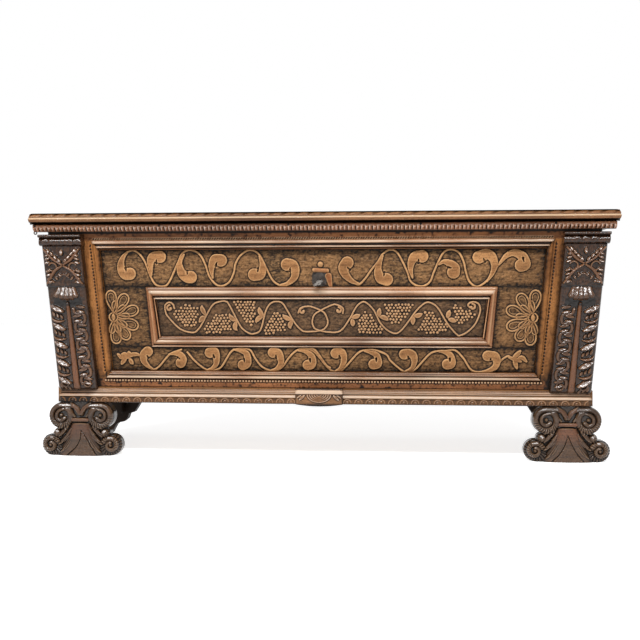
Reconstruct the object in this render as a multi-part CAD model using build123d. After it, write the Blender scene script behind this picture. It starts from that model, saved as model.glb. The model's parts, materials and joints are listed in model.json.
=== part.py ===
from build123d import *
import math
import os

# A carved walnut chest: a leaning box on four feet, with a hinged lid and an iron lock.
# Millimetres. X runs along the chest, the front faces -Y, and +Z is up. The origin is on the
# floor, under the middle of the lid.

# ------------------------------------------------------------------ lid and box
LID_LENGTH = 1500.0
LID_DEPTH = 540.0
LID_THICKNESS = 28.0
LID_EDGE_RADIUS = 12.0
RIM_HEIGHT = 604.0
FOOT_HEIGHT = 140.0
TAPER = 0.085             # how far the ends and the front lean in for each unit of fall
END_OVERHANG = 37.5
FRONT_OVERHANG = 57.0
BACK_OVERHANG = 20.0
WALL = 24.0
BOTTOM_THICKNESS = 20.0
BOTTOM_RISE = 18.0        # bottom board above the lower edges of the walls
BATTEN_WIDTH = 60.0
BATTEN_PLACE = 0.55       # battens as a share of the half length

# ------------------------------------------------------------------ mouldings under the lid
LIP_HEIGHT = 18.0
LIP_WIDTH = 26.0
LIP_SETBACK = 13.0
LIP_INSET = 9.0
LIP_COVE = 9.0
CLEAT_HEIGHT = 14.0
CLEAT_WIDTH = 18.0
CLEAT_GAP = 3.0

# ------------------------------------------------------------------ front frame
LID_GAP = 2.0
TOP_RAIL_HEIGHT = 61.5
BOTTOM_RAIL_HEIGHT = 44.0
FRAME_THICKNESS = 16.0
MOULDING_HEIGHT = 21.0
MOULDING_THICKNESS = 6.0
STILE_SHOW = 38.5         # stile width between pilaster and carved field
FIELD_MARGIN = 112.0      # carved field beside the inner frame
UPPER_SHARE = 0.305       # carved register over the inner frame, of the field's height
LOWER_SHARE = 0.196
INNER_FRAME_TOP = 28.0
INNER_FRAME_BOTTOM = 24.0
INNER_FRAME_SIDE = 26.0
INNER_FRAME_THICKNESS = 14.0
VINE_PANEL_THICKNESS = 4.0

# ------------------------------------------------------------------ pilasters
PILASTER_REVEAL = 12.0    # pilaster past the end board
PILASTER_WIDTH = 104.0
PILASTER_DROP = 6.0       # pilaster foot below the top of the plinth
SHAFT_THICKNESS = 20.0
SHAFT_ROUNDING = 12.0
RIB_WIDTH = 17.0
RIB_THICKNESS = 6.0
SCROLL_THICKNESS = 5.0
SCROLL_WIDTH = 38.0
BLOCK_THICKNESS = 32.0
BLOCK_HEIGHT = 105.0
CLAW_HEIGHT = 42.0
CLAW_WIDTH = 68.0
CLAW_THICKNESS = 35.0
ROLL_HEIGHT = 22.0
ABACUS_HEIGHT = 8.0
CAPITAL_STEP = 4.0
CAPITAL_TOP_GAP = 4.0     # daylight between capital and lip

# ------------------------------------------------------------------ plinth
PLINTH_HEIGHT = 40.0
PLINTH_THICKNESS = 34.0
PLINTH_FILLET_DEPTH = 21.0
PLINTH_FILLET_HEIGHT = 13.0
PLINTH_END_THICKNESS = 21.0
PLINTH_END_ROUNDING = 14.0
PLAQUE_WIDTH = 122.0
PLAQUE_PROUD = 6.0
PLAQUE_SAG = 5.0

# ------------------------------------------------------------------ feet
FRONT_FOOT_INSET = 66.0   # middle of a front foot inside the plinth's end
FRONT_FOOT_THICKNESS = 45.0
FRONT_FOOT_PROUD = 10.0   # front foot past the plinth
UPPER_VOLUTE_RADIUS = 35.0
UPPER_VOLUTE_SPREAD = 52.0
LOWER_VOLUTE_RADIUS = 28.0
LOWER_VOLUTE_SPREAD = 80.0
FOOT_WAIST = 78.0
REAR_FOOT_THICKNESS = 30.0
REAR_FOOT_SETBACK = 2.0   # rear foot inside the plinth's end
REAR_FOOT_REACH = 104.0
REAR_FOOT_TIP = 16.0
REAR_FOOT_FLARE = 20.0    # topmost step of the inner edge
BRACKET_SIZE = 38.0
BRACKET_HEIGHT = 75.0

# ------------------------------------------------------------------ lock
KEY_ABOVE_FRAME = 11.0
PLATE = 2.0
CASE_LEFT = 92.0
CASE_RIGHT = 76.0
CASE_BELOW = 30.0
CASE_BELOW_RIM = 12.0
CASE_DEPTH = 26.0
BOLT_HEIGHT = 22.0
BOLT_THICKNESS = 8.0
BOLT_LEFT = -50.0
BOLT_RIGHT = 62.0
BOLT_ABOVE_KEY = 8.0
BOLT_ARM_LEFT = 4.0
BOLT_ARM_WIDTH = 14.0
BOLT_NIB_LEFT = -24.0
BOLT_NIB_HEIGHT = 9.0
BOLT_NIB_THICKNESS = 6.0
BOLT_ROOM_LEFT = 38.0     # room in the keepers past each end of the bolt
BOLT_ROOM_RIGHT = 8.0
BIT_ROOM = 5.5            # half width of the notch for the bit
SLIDE_GAP = 0.3
KEEPER_LEFTS = (-44.0, 26.0)
KEEPER_WIDTH = 10.0
KEEPER_WALL = 6.0
STAPLE_X = -30.0
STAPLE_THICKNESS = 5.0
STAPLE_WIDTH = 18.0
STAPLE_WALL = 3.5
STAPLE_DROP = 38.0
STAPLE_PLATE = (60.0, 26.0, 3.0)
STAPLE_ROOM = 4.0
NIB_ABOVE_STAPLE = 12.5   # middle of the nib above the lower end of the staple
KEY_RADIUS = 4.0
KEY_BORE_GAP = 0.08
KEY_END_GAP = 1.0         # shank clear of the cover
KEY_BORE_LENGTH = 20.0
KEY_PIN_RADIUS = 2.0
KEY_PIN_LENGTH = 18.0
KEY_BIT_REACH = 16.0
KEY_BIT_THICKNESS = 3.0
KEY_REST_ANGLE = 29.0     # bow and bit above the horizontal
KEY_COLLAR_RADIUS = 6.5
KEY_COLLAR_START = 9.0    # collar in front of the board
KEY_COLLAR_LENGTH = 5.0
BOW_WIDTH = 31.0
BOW_LENGTH = 25.0
BOW_BAR = 6.0
KEYHOLE_RADIUS = 5.5
KEYHOLE_SLOT = 5.0
ESCUTCHEON = (37.0, 39.0, 2.5)
ESCUTCHEON_RISE = 9.2

# ------------------------------------------------------------------ hinges and nails
HINGE_X = 430.0
HINGE_WIDTH = 36.0
HINGE_SETOFF = 3.5        # pin behind the back board
KNUCKLE_RADIUS = 4.5
KNUCKLE_WIDTH = 13.0
KNUCKLE_GAP = 0.3
HINGE_PLATE = 2.5
STRAP_LENGTH = 230.0
LEAF_LENGTH = 90.0
PIN_RADIUS = 2.0
PIN_GAP = 0.06
PIN_HEAD_RADIUS = 3.5
PIN_HEAD = 1.5
LET_IN_GAP = 0.6
NAIL_RADIUS = 1.5
NAIL_HEAD_RADIUS = 3.0
NAIL_HEAD = 1.2
NAIL_LENGTH = 9.0

# ------------------------------------------------------------------ places worked out
NOSE_Y = -LID_DEPTH / 2
BACK_Y = LID_DEPTH / 2 - BACK_OVERHANG
LEAN = math.atan(TAPER)
PLINTH_TOP = FOOT_HEIGHT + PLINTH_HEIGHT
FIELD_LOW = PLINTH_TOP + BOTTOM_RAIL_HEIGHT
FIELD_HIGH = RIM_HEIGHT - LID_GAP - TOP_RAIL_HEIGHT
INNER_LOW = FIELD_LOW + LOWER_SHARE * (FIELD_HIGH - FIELD_LOW)
INNER_HIGH = FIELD_HIGH - UPPER_SHARE * (FIELD_HIGH - FIELD_LOW)
KEY_HEIGHT = INNER_HIGH + KEY_ABOVE_FRAME
CAPITAL_TOP = RIM_HEIGHT - LIP_HEIGHT - CAPITAL_TOP_GAP
BLOCK_HIGH = CAPITAL_TOP - ABACUS_HEIGHT - ROLL_HEIGHT
BLOCK_LOW = BLOCK_HIGH - BLOCK_HEIGHT
PILASTER_LOW = PLINTH_TOP - PILASTER_DROP
CASE_TOP = RIM_HEIGHT - CASE_BELOW_RIM
CASE_BOTTOM = KEY_HEIGHT - CASE_BELOW
SLOT_MID = -WALL - PLATE - (CASE_DEPTH - PLATE) / 2      # middle of the bolt, out from the board
NIB_LEVEL = RIM_HEIGHT - STAPLE_DROP + NIB_ABOVE_STAPLE
HINGE_Y = BACK_Y + HINGE_SETOFF


def end_x(height):
    """Outer face of the right end board."""
    return LID_LENGTH / 2 - END_OVERHANG - TAPER * (RIM_HEIGHT - height)


def front_y(height):
    """Outer face of the front board."""
    return NOSE_Y + FRONT_OVERHANG + TAPER * (RIM_HEIGHT - height)


def inner_front_y(height):
    """Inner face of the front board, which is WALL thick square to its lean."""
    return front_y(height) + WALL / math.cos(LEAN)


def pilaster_out(height):
    """Outer edge of the right pilaster."""
    return end_x(height) + PILASTER_REVEAL


def pilaster_in(height):
    """Inner edge of the right pilaster."""
    return pilaster_out(height) - PILASTER_WIDTH


def pilaster_mid(height):
    """Centre line of the right pilaster."""
    return pilaster_out(height) - PILASTER_WIDTH / 2


def field_x(height):
    """Right edge of the carved field."""
    return pilaster_in(height) - STILE_SHOW


def inner_x(height):
    """Right outer edge of the inner frame."""
    return field_x(height) - FIELD_MARGIN


PLINTH_END_X = end_x(FOOT_HEIGHT) + PLINTH_END_THICKNESS
FRONT_FOOT_X = PLINTH_END_X - FRONT_FOOT_INSET


def shifted(edge, distance):
    """An edge line moved along X."""
    return lambda height: edge(height) + distance


def mirrored(edge):
    """The same edge line on the left."""
    return lambda height: -edge(height)


FRONT = Plane(
    origin=(0, front_y(0), 0),
    x_dir=(1, 0, 0),
    z_dir=(0, -math.cos(LEAN), -math.sin(LEAN)),
)
OUTWARD = FRONT.z_dir


def slope(height):
    """Distance up the leaning front to a height."""
    return height / math.cos(LEAN)


def above_key(height):
    """Distance up the leaning front from the key's axis to a height."""
    return slope(height) - slope(KEY_HEIGHT)


def on_front(x, height, out=0.0):
    """Point on the leaning front, at a distance out from the front board."""
    return FRONT.from_local_coords((x, slope(height), out))


# ------------------------------------------------------------------ ways to make solids
def level_block(left, right, front, back, low, high):
    """Solid between two level rectangles. A side is a number, or an edge line by height."""

    def corners(height):
        x0, x1, y0, y1 = [side(height) if callable(side) else side for side in (left, right, front, back)]
        return [(x0, y0, height), (x1, y0, height), (x1, y1, height), (x0, y1, height)]

    bottom, top = corners(low), corners(high)
    outlines = [bottom[::-1], top]
    for index in range(4):
        after = (index + 1) % 4
        outlines.append([bottom[index], bottom[after], top[after], top[index]])
    return Solid(Shell([Face(Wire.make_polygon(outline, close=True)) for outline in outlines]))


def front_prism(outline, near, far):
    """Solid on the front: an outline of (x, height) points, between two distances from the board."""
    points = [(x, slope(height)) for x, height in outline]
    face = make_face(Polyline(*points, close=True))
    return extrude(FRONT.offset(near) * face, far - near, dir=OUTWARD)


def region(left, right, low, high):
    """Outline between two edge lines and two heights."""
    return [(left(low), low), (right(low), low), (right(high), high), (left(high), high)]


def front_bar(profile, left, right):
    """Bar along X on the front: a profile of (distance out, height) points."""
    points = [(out, slope(height)) for out, height in profile]
    plane = Plane(origin=FRONT.origin, x_dir=OUTWARD, z_dir=(-1, 0, 0))
    face = plane.offset(-right) * make_face(Polyline(*points, close=True))
    return extrude(face, right - left, dir=(-1, 0, 0))


def beaded_strip(height, thickness):
    """Profile of a strip with two half-round beads, standing on its back face."""
    radius = min(height / 4, thickness * 0.9)
    flat = Pos((thickness - radius) / 2, height / 2) * Rectangle(thickness - radius, height)
    beads = [Pos(thickness - radius, height * part) * Circle(radius) for part in (0.25, 0.75)]
    return (flat + beads) & Pos(thickness / 2, height / 2) * Rectangle(thickness, height)


def strip_along(start, end, profile, overrun=0.0):
    """Strip on the front from one (x, height) point to another, profile to the right of the way."""
    first = on_front(*start[:2], *start[2:])
    last = on_front(*end[:2], *end[2:])
    way = (last - first).normalized()
    plane = Plane(origin=first - way * overrun, x_dir=OUTWARD, z_dir=way)
    return extrude(plane * profile, (last - first).length + 2 * overrun, dir=way)


def lock_box(left, right, low, high, near, far):
    """Box in the lock, square to the front: X, height along the slope from the key, distance out."""
    centre = ((left + right) / 2, slope(KEY_HEIGHT) + (low + high) / 2, (near + far) / 2)
    return FRONT * (Pos(*centre) * Box(right - left, high - low, abs(far - near)))


def lock_round(radius, near, far):
    """Cylinder on the key's axis."""
    disc = Pos(0, slope(KEY_HEIGHT)) * Circle(radius)
    return extrude(FRONT.offset(near) * disc, far - near, dir=OUTWARD)


def left_and_right(name, solid):
    """The right-hand solid and its mirror image, by name."""
    return {name + "_right": solid, name + "_left": mirror(solid, about=Plane.YZ)}


def nail(point, direction):
    """Domed nail whose head sits on a face, with the face's outward direction."""
    plane = Plane(origin=point, z_dir=direction)
    shank = Pos(0, 0, -NAIL_LENGTH / 2) * Cylinder(NAIL_RADIUS, NAIL_LENGTH)
    head = Pos(0, 0, NAIL_HEAD / 2) * Cone(NAIL_HEAD_RADIUS, NAIL_HEAD_RADIUS * 0.5, NAIL_HEAD)
    return plane * (shank + head)


# ------------------------------------------------------------------ carcass
def front_board():
    board = level_block(mirrored(end_x), end_x, front_y, inner_front_y, FOOT_HEIGHT, RIM_HEIGHT)
    return board - keyhole(-WALL - 1, 1)


def end_board():
    inner = shifted(end_x, -WALL)
    return level_block(inner, end_x, inner_front_y, BACK_Y - WALL, FOOT_HEIGHT, RIM_HEIGHT)


def back_board():
    board = level_block(mirrored(end_x), end_x, BACK_Y - WALL, BACK_Y, FOOT_HEIGHT, RIM_HEIGHT)
    for side in (-1, 1):
        board -= hinge_notch(side * HINGE_X)
    return board


def bottom_board():
    inner = shifted(end_x, -WALL)
    low = FOOT_HEIGHT + BOTTOM_RISE
    return level_block(mirrored(inner), inner, inner_front_y, BACK_Y - WALL, low, low + BOTTOM_THICKNESS)


def bottom_battens():
    low = FOOT_HEIGHT
    middle = end_x(low) * BATTEN_PLACE
    half = BATTEN_WIDTH / 2
    back = BACK_Y - WALL
    return [
        level_block(side * middle - half, side * middle + half, inner_front_y, back, low, low + BOTTOM_RISE)
        for side in (-1, 1)
    ]


# ------------------------------------------------------------------ frame on the front
def top_rail():
    return front_prism(region(mirrored(end_x), end_x, FIELD_HIGH, RIM_HEIGHT - LID_GAP), 0, FRAME_THICKNESS)


def bottom_rail():
    """Rail with a level lower edge, which stands on the plinth."""
    rail = front_prism(region(mirrored(end_x), end_x, FOOT_HEIGHT, FIELD_LOW), 0, FRAME_THICKNESS)
    return rail & level_block(-LID_LENGTH, LID_LENGTH, NOSE_Y, 0, PLINTH_TOP, RIM_HEIGHT)


def stile():
    return front_prism(region(field_x, end_x, FIELD_LOW, FIELD_HIGH), 0, FRAME_THICKNESS)


def frame_moulding(low, inset=0.0):
    """Double bead between the pilasters, on one of the rails, cut short by an inset at each end."""
    high = low + MOULDING_HEIGHT
    end = shifted(pilaster_in, -inset)
    profile = beaded_strip(slope(MOULDING_HEIGHT), MOULDING_THICKNESS)
    strip = strip_along((-LID_LENGTH / 2, high, FRAME_THICKNESS), (LID_LENGTH / 2, high, FRAME_THICKNESS), profile)
    reach = FRAME_THICKNESS + MOULDING_THICKNESS
    return strip & front_prism(region(mirrored(end), end, low - 5, high + 5), 0, reach + 5)


def inner_frame():
    """Four mitred members around the vine panel, clockwise from the top."""
    outer = region(mirrored(inner_x), inner_x, INNER_LOW, INNER_HIGH)
    opening = vine_outline()
    corners = [outer[3], outer[2], outer[1], outer[0]]
    inside = [opening[3], opening[2], opening[1], opening[0]]
    names = ["top", "right", "bottom", "left"]
    widths = [INNER_FRAME_TOP, INNER_FRAME_SIDE, INNER_FRAME_BOTTOM, INNER_FRAME_SIDE]
    members = {}
    for index, (side, width) in enumerate(zip(names, widths)):
        following = (index + 1) % 4
        bar = strip_along(
            corners[index], corners[following], beaded_strip(width * 1.02, INNER_FRAME_THICKNESS), width
        )
        mitre = [corners[index], corners[following], inside[following], inside[index]]
        members["inner_frame_" + side] = bar & front_prism(mitre, 0, INNER_FRAME_THICKNESS + 1)
    return members


def vine_outline():
    """Opening of the inner frame."""
    edge = shifted(inner_x, -INNER_FRAME_SIDE)
    return region(mirrored(edge), edge, INNER_LOW + INNER_FRAME_BOTTOM, INNER_HIGH - INNER_FRAME_TOP)


def vine_panel():
    return front_prism(vine_outline(), 0, VINE_PANEL_THICKNESS)


# ------------------------------------------------------------------ pilasters
def pilaster():
    """Slanted console: shaft with rib and scroll bands, claw, square block, roll and abacus."""
    base = FRAME_THICKNESS
    shaft_front = base + SHAFT_THICKNESS
    cut = SHAFT_ROUNDING
    shaft_profile = [
        (base, PILASTER_LOW),
        (shaft_front - cut, PILASTER_LOW),
        (shaft_front - cut * 0.3, PILASTER_LOW + cut * 0.3),
        (shaft_front, PILASTER_LOW + cut),
        (shaft_front, BLOCK_LOW),
        (base, BLOCK_LOW),
    ]
    wide = LID_LENGTH / 2
    body = front_bar(shaft_profile, 0, wide) & front_prism(
        region(pilaster_in, pilaster_out, PILASTER_LOW - 5, BLOCK_LOW), base, wide
    )
    shaft_high = BLOCK_LOW - CLAW_HEIGHT
    half_rib = RIB_WIDTH / 2
    rib = region(shifted(pilaster_mid, -half_rib), shifted(pilaster_mid, half_rib), PILASTER_LOW + cut, shaft_high)
    body += front_prism(rib, base, shaft_front + RIB_THICKNESS)
    for side in (-1, 1):
        middle = side * (PILASTER_WIDTH / 2 - SCROLL_WIDTH / 2)
        left = shifted(pilaster_mid, middle - SCROLL_WIDTH / 2)
        right = shifted(pilaster_mid, middle + SCROLL_WIDTH / 2)
        band = region(left, right, PILASTER_LOW + cut, shaft_high)
        body += front_prism(band, base, shaft_front + SCROLL_THICKNESS)
    block = region(pilaster_in, pilaster_out, BLOCK_LOW, BLOCK_HIGH)
    body += front_prism(block, base, base + BLOCK_THICKNESS)
    body += claw(base)
    body += capital(base)
    return body - plinth_seat()


def claw(base):
    """Drop of the block, hollowed back towards the shaft."""
    reach = base + CLAW_THICKNESS
    low = BLOCK_LOW - CLAW_HEIGHT
    profile = [
        (base, low),
        (base + SHAFT_THICKNESS, low),
        (reach - 3, low + CLAW_HEIGHT * 0.1),
        (reach, low + CLAW_HEIGHT * 0.3),
        (reach - 4, low + CLAW_HEIGHT * 0.8),
        (base + BLOCK_THICKNESS - 4, BLOCK_LOW),
        (base, BLOCK_LOW),
    ]
    half = CLAW_WIDTH / 2
    outline = region(shifted(pilaster_mid, -half), shifted(pilaster_mid, half), low - 5, BLOCK_LOW)
    return front_bar(profile, 0, LID_LENGTH / 2) & front_prism(outline, base, reach + 5)


def capital(base):
    """Roll and abacus, a step wider than the block."""
    left = shifted(pilaster_in, -CAPITAL_STEP)
    right = shifted(pilaster_out, CAPITAL_STEP)
    reach = base + BLOCK_THICKNESS + CAPITAL_STEP
    roll_low, roll_high = BLOCK_HIGH, BLOCK_HIGH + ROLL_HEIGHT
    third = ROLL_HEIGHT / 3
    profile = [
        (base, roll_low),
        (reach - 5, roll_low),
        (reach, roll_low + third),
        (reach, roll_high - third),
        (reach - 5, roll_high),
        (base, roll_high),
    ]
    roll = front_bar(profile, 0, LID_LENGTH) & front_prism(region(left, right, roll_low, roll_high), base, reach)
    abacus = region(left, right, roll_high, CAPITAL_TOP)
    return roll + front_prism(abacus, base, reach - 1)


def plinth_seat():
    """Room that the pilaster's back leaves for the upper steps of the plinth."""
    edge = shifted(pilaster_out, CAPITAL_STEP)
    return front_prism(region(mirrored(edge), edge, 0, PLINTH_TOP + 3), 0, PLINTH_FILLET_DEPTH + 2)


# ------------------------------------------------------------------ plinth
def plinth_profile():
    """Section of the plinth in (y, height), standing against the leaning front board."""
    face = front_y(PLINTH_TOP) - PLINTH_THICKNESS
    step = front_y(PLINTH_TOP) - PLINTH_FILLET_DEPTH
    shelf = PLINTH_TOP - PLINTH_FILLET_HEIGHT
    bead = (shelf - FOOT_HEIGHT) / 4
    return [
        (front_y(PLINTH_TOP), PLINTH_TOP),
        (step, PLINTH_TOP),
        (step, shelf),
        (face + bead * 0.5, shelf),
        (face, shelf - bead * 0.7),
        (face, FOOT_HEIGHT + bead),
        (face + bead * 0.6, FOOT_HEIGHT),
        (front_y(FOOT_HEIGHT), FOOT_HEIGHT),
    ]


def plinth_front():
    """Right half of the front moulding, with a rounded outer end."""
    start = PLAQUE_WIDTH / 2
    plane = Plane(origin=(start, 0, 0), x_dir=(0, 1, 0), z_dir=(1, 0, 0))
    strip = extrude(plane * make_face(Polyline(*plinth_profile(), close=True)), PLINTH_END_X - start, dir=(1, 0, 0))
    low_front = front_y(PLINTH_TOP) - PLINTH_THICKNESS
    corner = Pos(PLINTH_END_X, low_front, FOOT_HEIGHT) * Box(
        2 * PLINTH_END_ROUNDING, 2 * PLINTH_END_ROUNDING, 3 * PLINTH_HEIGHT
    )
    centre = (PLINTH_END_X - PLINTH_END_ROUNDING, low_front + PLINTH_END_ROUNDING, FOOT_HEIGHT)
    corner -= Pos(*centre) * Cylinder(PLINTH_END_ROUNDING, 4 * PLINTH_HEIGHT)
    return strip - corner


def plinth_end():
    return level_block(end_x, PLINTH_END_X, front_y, BACK_Y, FOOT_HEIGHT, PLINTH_TOP - PLINTH_FILLET_HEIGHT)


def plinth_plaque():
    """Middle block of the plinth, with a lower edge that sags."""
    half = PLAQUE_WIDTH / 2
    face = front_y(PLINTH_TOP) - PLINTH_THICKNESS - PLAQUE_PROUD
    low = FOOT_HEIGHT - PLAQUE_SAG
    edge = Line((-half, PLINTH_TOP), (half, PLINTH_TOP))
    edge += Line((half, PLINTH_TOP), (half, FOOT_HEIGHT))
    edge += ThreePointArc((half, FOOT_HEIGHT), (0, low), (-half, FOOT_HEIGHT))
    edge += Line((-half, FOOT_HEIGHT), (-half, PLINTH_TOP))
    plane = Plane(origin=(0, face, 0), x_dir=(1, 0, 0), z_dir=(0, -1, 0))
    slab = extrude(plane * make_face(edge), LID_DEPTH, dir=(0, 1, 0))
    return slab & level_block(-half, half, face, front_y, low, PLINTH_TOP)


# ------------------------------------------------------------------ feet
def front_foot():
    """Carved board cut to two upper and two lower volutes."""
    high = FOOT_HEIGHT
    outline = Pos(0, high / 2) * Rectangle(2 * FOOT_WAIST, high * 0.72)
    outline += Pos(0, high / 2) * Rectangle(2 * UPPER_VOLUTE_SPREAD, high)
    outline += Pos(0, LOWER_VOLUTE_RADIUS / 2) * Rectangle(2 * LOWER_VOLUTE_SPREAD, LOWER_VOLUTE_RADIUS)
    for side in (-1, 1):
        outline += Pos(side * UPPER_VOLUTE_SPREAD, high - UPPER_VOLUTE_RADIUS) * Circle(UPPER_VOLUTE_RADIUS)
        outline += Pos(side * LOWER_VOLUTE_SPREAD, LOWER_VOLUTE_RADIUS) * Circle(LOWER_VOLUTE_RADIUS)
    y = front_foot_y()
    plane = Plane(origin=(FRONT_FOOT_X, y, 0), x_dir=(1, 0, 0), z_dir=(0, -1, 0))
    return extrude(plane * outline, FRONT_FOOT_THICKNESS, dir=(0, 1, 0))


def front_foot_y():
    """Front face of the front feet."""
    return front_y(PLINTH_TOP) - PLINTH_THICKNESS - FRONT_FOOT_PROUD


def rear_foot():
    """Plain bracket board with a stepped inner edge of two ogees."""
    outer = PLINTH_END_X - REAR_FOOT_SETBACK
    reach = REAR_FOOT_REACH
    tip = REAR_FOOT_TIP
    run = reach - tip
    high = FOOT_HEIGHT
    points = [
        (outer, 0),
        (outer, high),
        (outer - reach - REAR_FOOT_FLARE, high),
        (outer - reach, high * 0.66),
        (outer - tip - run * 0.8, high * 0.46),
        (outer - tip - run * 0.62, high * 0.43),
        (outer - tip - run * 0.56, high * 0.32),
        (outer - tip - run * 0.44, high * 0.25),
        (outer - tip - run * 0.24, high * 0.225),
        (outer - tip - run * 0.14, high * 0.17),
        (outer - tip - run * 0.04, high * 0.05),
        (outer - tip, 0),
    ]
    plane = Plane(origin=(0, BACK_Y, 0), x_dir=(1, 0, 0), z_dir=(0, -1, 0))
    return extrude(plane * make_face(Polyline(*points, close=True)), REAR_FOOT_THICKNESS, dir=(0, -1, 0))


def foot_brackets():
    """Glue block behind each foot, up to the lower edges of the walls."""
    low = FOOT_HEIGHT - BRACKET_HEIGHT
    size = BRACKET_SIZE
    front = front_foot_y() + FRONT_FOOT_THICKNESS
    rear = BACK_Y - REAR_FOOT_THICKNESS
    outer = end_x(FOOT_HEIGHT)
    blocks = []
    for side in (-1, 1):
        left, right = sorted((side * outer, side * (outer - size)))
        blocks.append(level_block(left, right, front, front + size, low, FOOT_HEIGHT))
        blocks.append(level_block(left, right, rear - size, rear, low, FOOT_HEIGHT))
    return blocks


# ------------------------------------------------------------------ lid
def lid_board():
    board = Pos(0, 0, RIM_HEIGHT + LID_THICKNESS / 2) * Box(LID_LENGTH, LID_DEPTH, LID_THICKNESS)
    top = board.faces().sort_by(Axis.Z)[-1]
    rear = top.edges().sort_by(Axis.Y)[-1]
    rounded = [edge for edge in top.edges() if not edge.is_same(rear)]
    board = fillet(rounded, LID_EDGE_RADIUS)
    for side in (-1, 1):
        board -= hinge_round(side * HINGE_X, KNUCKLE_RADIUS + LET_IN_GAP, HINGE_WIDTH + 2 * PIN_HEAD + 2)
    return board


def lid_lip():
    """Hollowed strip under the front of the lid."""
    front = NOSE_Y + LIP_SETBACK
    back = front + LIP_WIDTH
    low, high = RIM_HEIGHT - LIP_HEIGHT, RIM_HEIGHT
    half = LID_LENGTH / 2 - LIP_INSET
    edge = Line((back, high), (front, high)) + Line((front, high), (front, low + LIP_COVE + 3))
    edge += RadiusArc((front, low + LIP_COVE + 3), (front + LIP_COVE, low + 3), LIP_COVE)
    edge += Line((front + LIP_COVE, low + 3), (front + LIP_COVE, low))
    edge += Line((front + LIP_COVE, low), (back, low)) + Line((back, low), (back, high))
    plane = Plane(origin=(-half, 0, 0), x_dir=(0, 1, 0), z_dir=(1, 0, 0))
    return extrude(plane * make_face(edge), 2 * half, dir=(1, 0, 0))


def lid_cleat():
    """Strip under one end of the lid, outside the end board."""
    inner = end_x(RIM_HEIGHT) + CLEAT_GAP
    front = NOSE_Y + LIP_SETBACK + LIP_WIDTH
    return level_block(inner, inner + CLEAT_WIDTH, front, BACK_Y, RIM_HEIGHT - CLEAT_HEIGHT, RIM_HEIGHT)


# ------------------------------------------------------------------ lock
def keyhole(near, far):
    """Round hole with a slot below it, for the key and its bit."""
    slot = lock_box(-KEYHOLE_SLOT / 2, KEYHOLE_SLOT / 2, -KEY_BIT_REACH - 2, 0, near, far)
    return lock_round(KEYHOLE_RADIUS, near, far) + slot


def lock_case():
    """Iron box behind the front board, with two keepers that guide the bolt."""
    back = -WALL
    deep = back - CASE_DEPTH
    low, high = above_key(CASE_BOTTOM), above_key(CASE_TOP)
    case = lock_box(-CASE_LEFT, CASE_RIGHT, low, high, deep, back)
    case -= lock_box(-CASE_LEFT + PLATE, CASE_RIGHT - PLATE, low + PLATE, high - PLATE, deep - 1, back - PLATE)
    room = STAPLE_THICKNESS / 2 + STAPLE_ROOM
    case -= lock_box(STAPLE_X - room, STAPLE_X + room, high - PLATE - 1, high + 1, deep - 1, back - PLATE)
    bolt_high = BOLT_ABOVE_KEY + BOLT_HEIGHT
    for left in KEEPER_LEFTS:
        keeper = lock_box(
            left, left + KEEPER_WIDTH, BOLT_ABOVE_KEY - KEEPER_WALL, bolt_high + KEEPER_WALL,
            SLOT_MID - BOLT_THICKNESS / 2 - KEEPER_WALL / 2, back - PLATE,
        )
        case += keeper
    case -= bolt_bar(SLIDE_GAP, BOLT_ROOM_LEFT, BOLT_ROOM_RIGHT)
    return case - keyhole(back - PLATE - 1, back + 1)


def bolt_bar(gap=0.0, past_left=0.0, past_right=0.0):
    """Straight bar of the bolt, grown by a gap and lengthened at both ends."""
    half = BOLT_THICKNESS / 2 + gap
    return lock_box(
        BOLT_LEFT - past_left, BOLT_RIGHT + past_right, BOLT_ABOVE_KEY - gap,
        BOLT_ABOVE_KEY + BOLT_HEIGHT + gap, SLOT_MID - half, SLOT_MID + half,
    )


def lock_bolt():
    """Sliding bar with a notch for the key's bit, and an arm that carries the nib."""
    half = BOLT_THICKNESS / 2
    bit_x = KEY_BIT_REACH * math.cos(math.radians(KEY_REST_ANGLE))
    notch = lock_box(
        bit_x - BIT_ROOM, bit_x + BIT_ROOM, 0, KEY_BIT_REACH + 1.5, SLOT_MID - 2 * half, SLOT_MID + 2 * half
    )
    nib_middle = above_key(NIB_LEVEL)
    nib_low, nib_high = nib_middle - BOLT_NIB_HEIGHT / 2, nib_middle + BOLT_NIB_HEIGHT / 2
    arm = lock_box(
        BOLT_ARM_LEFT, BOLT_ARM_LEFT + BOLT_ARM_WIDTH, BOLT_ABOVE_KEY + BOLT_HEIGHT - 1, nib_high,
        SLOT_MID - half, SLOT_MID + half,
    )
    nib_half = BOLT_NIB_THICKNESS / 2
    nib = lock_box(
        BOLT_NIB_LEFT, BOLT_ARM_LEFT + 1, nib_low, nib_high, SLOT_MID - nib_half, SLOT_MID + nib_half
    )
    return bolt_bar() - notch + arm + nib


def lock_cover():
    """Plate that closes the case, with the pin that the hollow key turns on."""
    deep = -WALL - CASE_DEPTH
    plate = lock_box(-CASE_LEFT, CASE_RIGHT, above_key(CASE_BOTTOM), above_key(CASE_TOP), deep - PLATE, deep)
    return plate + lock_round(KEY_PIN_RADIUS, deep - PLATE / 2, deep + KEY_PIN_LENGTH)


def escutcheon():
    """Shield-shaped plate around the keyhole."""
    width, height, thickness = ESCUTCHEON
    shield = RectangleRounded(width, height, width * 0.3)
    plate = extrude(FRONT * (Pos(0, slope(KEY_HEIGHT) + ESCUTCHEON_RISE) * shield), thickness, dir=OUTWARD)
    return plate - keyhole(-1, thickness + 1)


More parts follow.
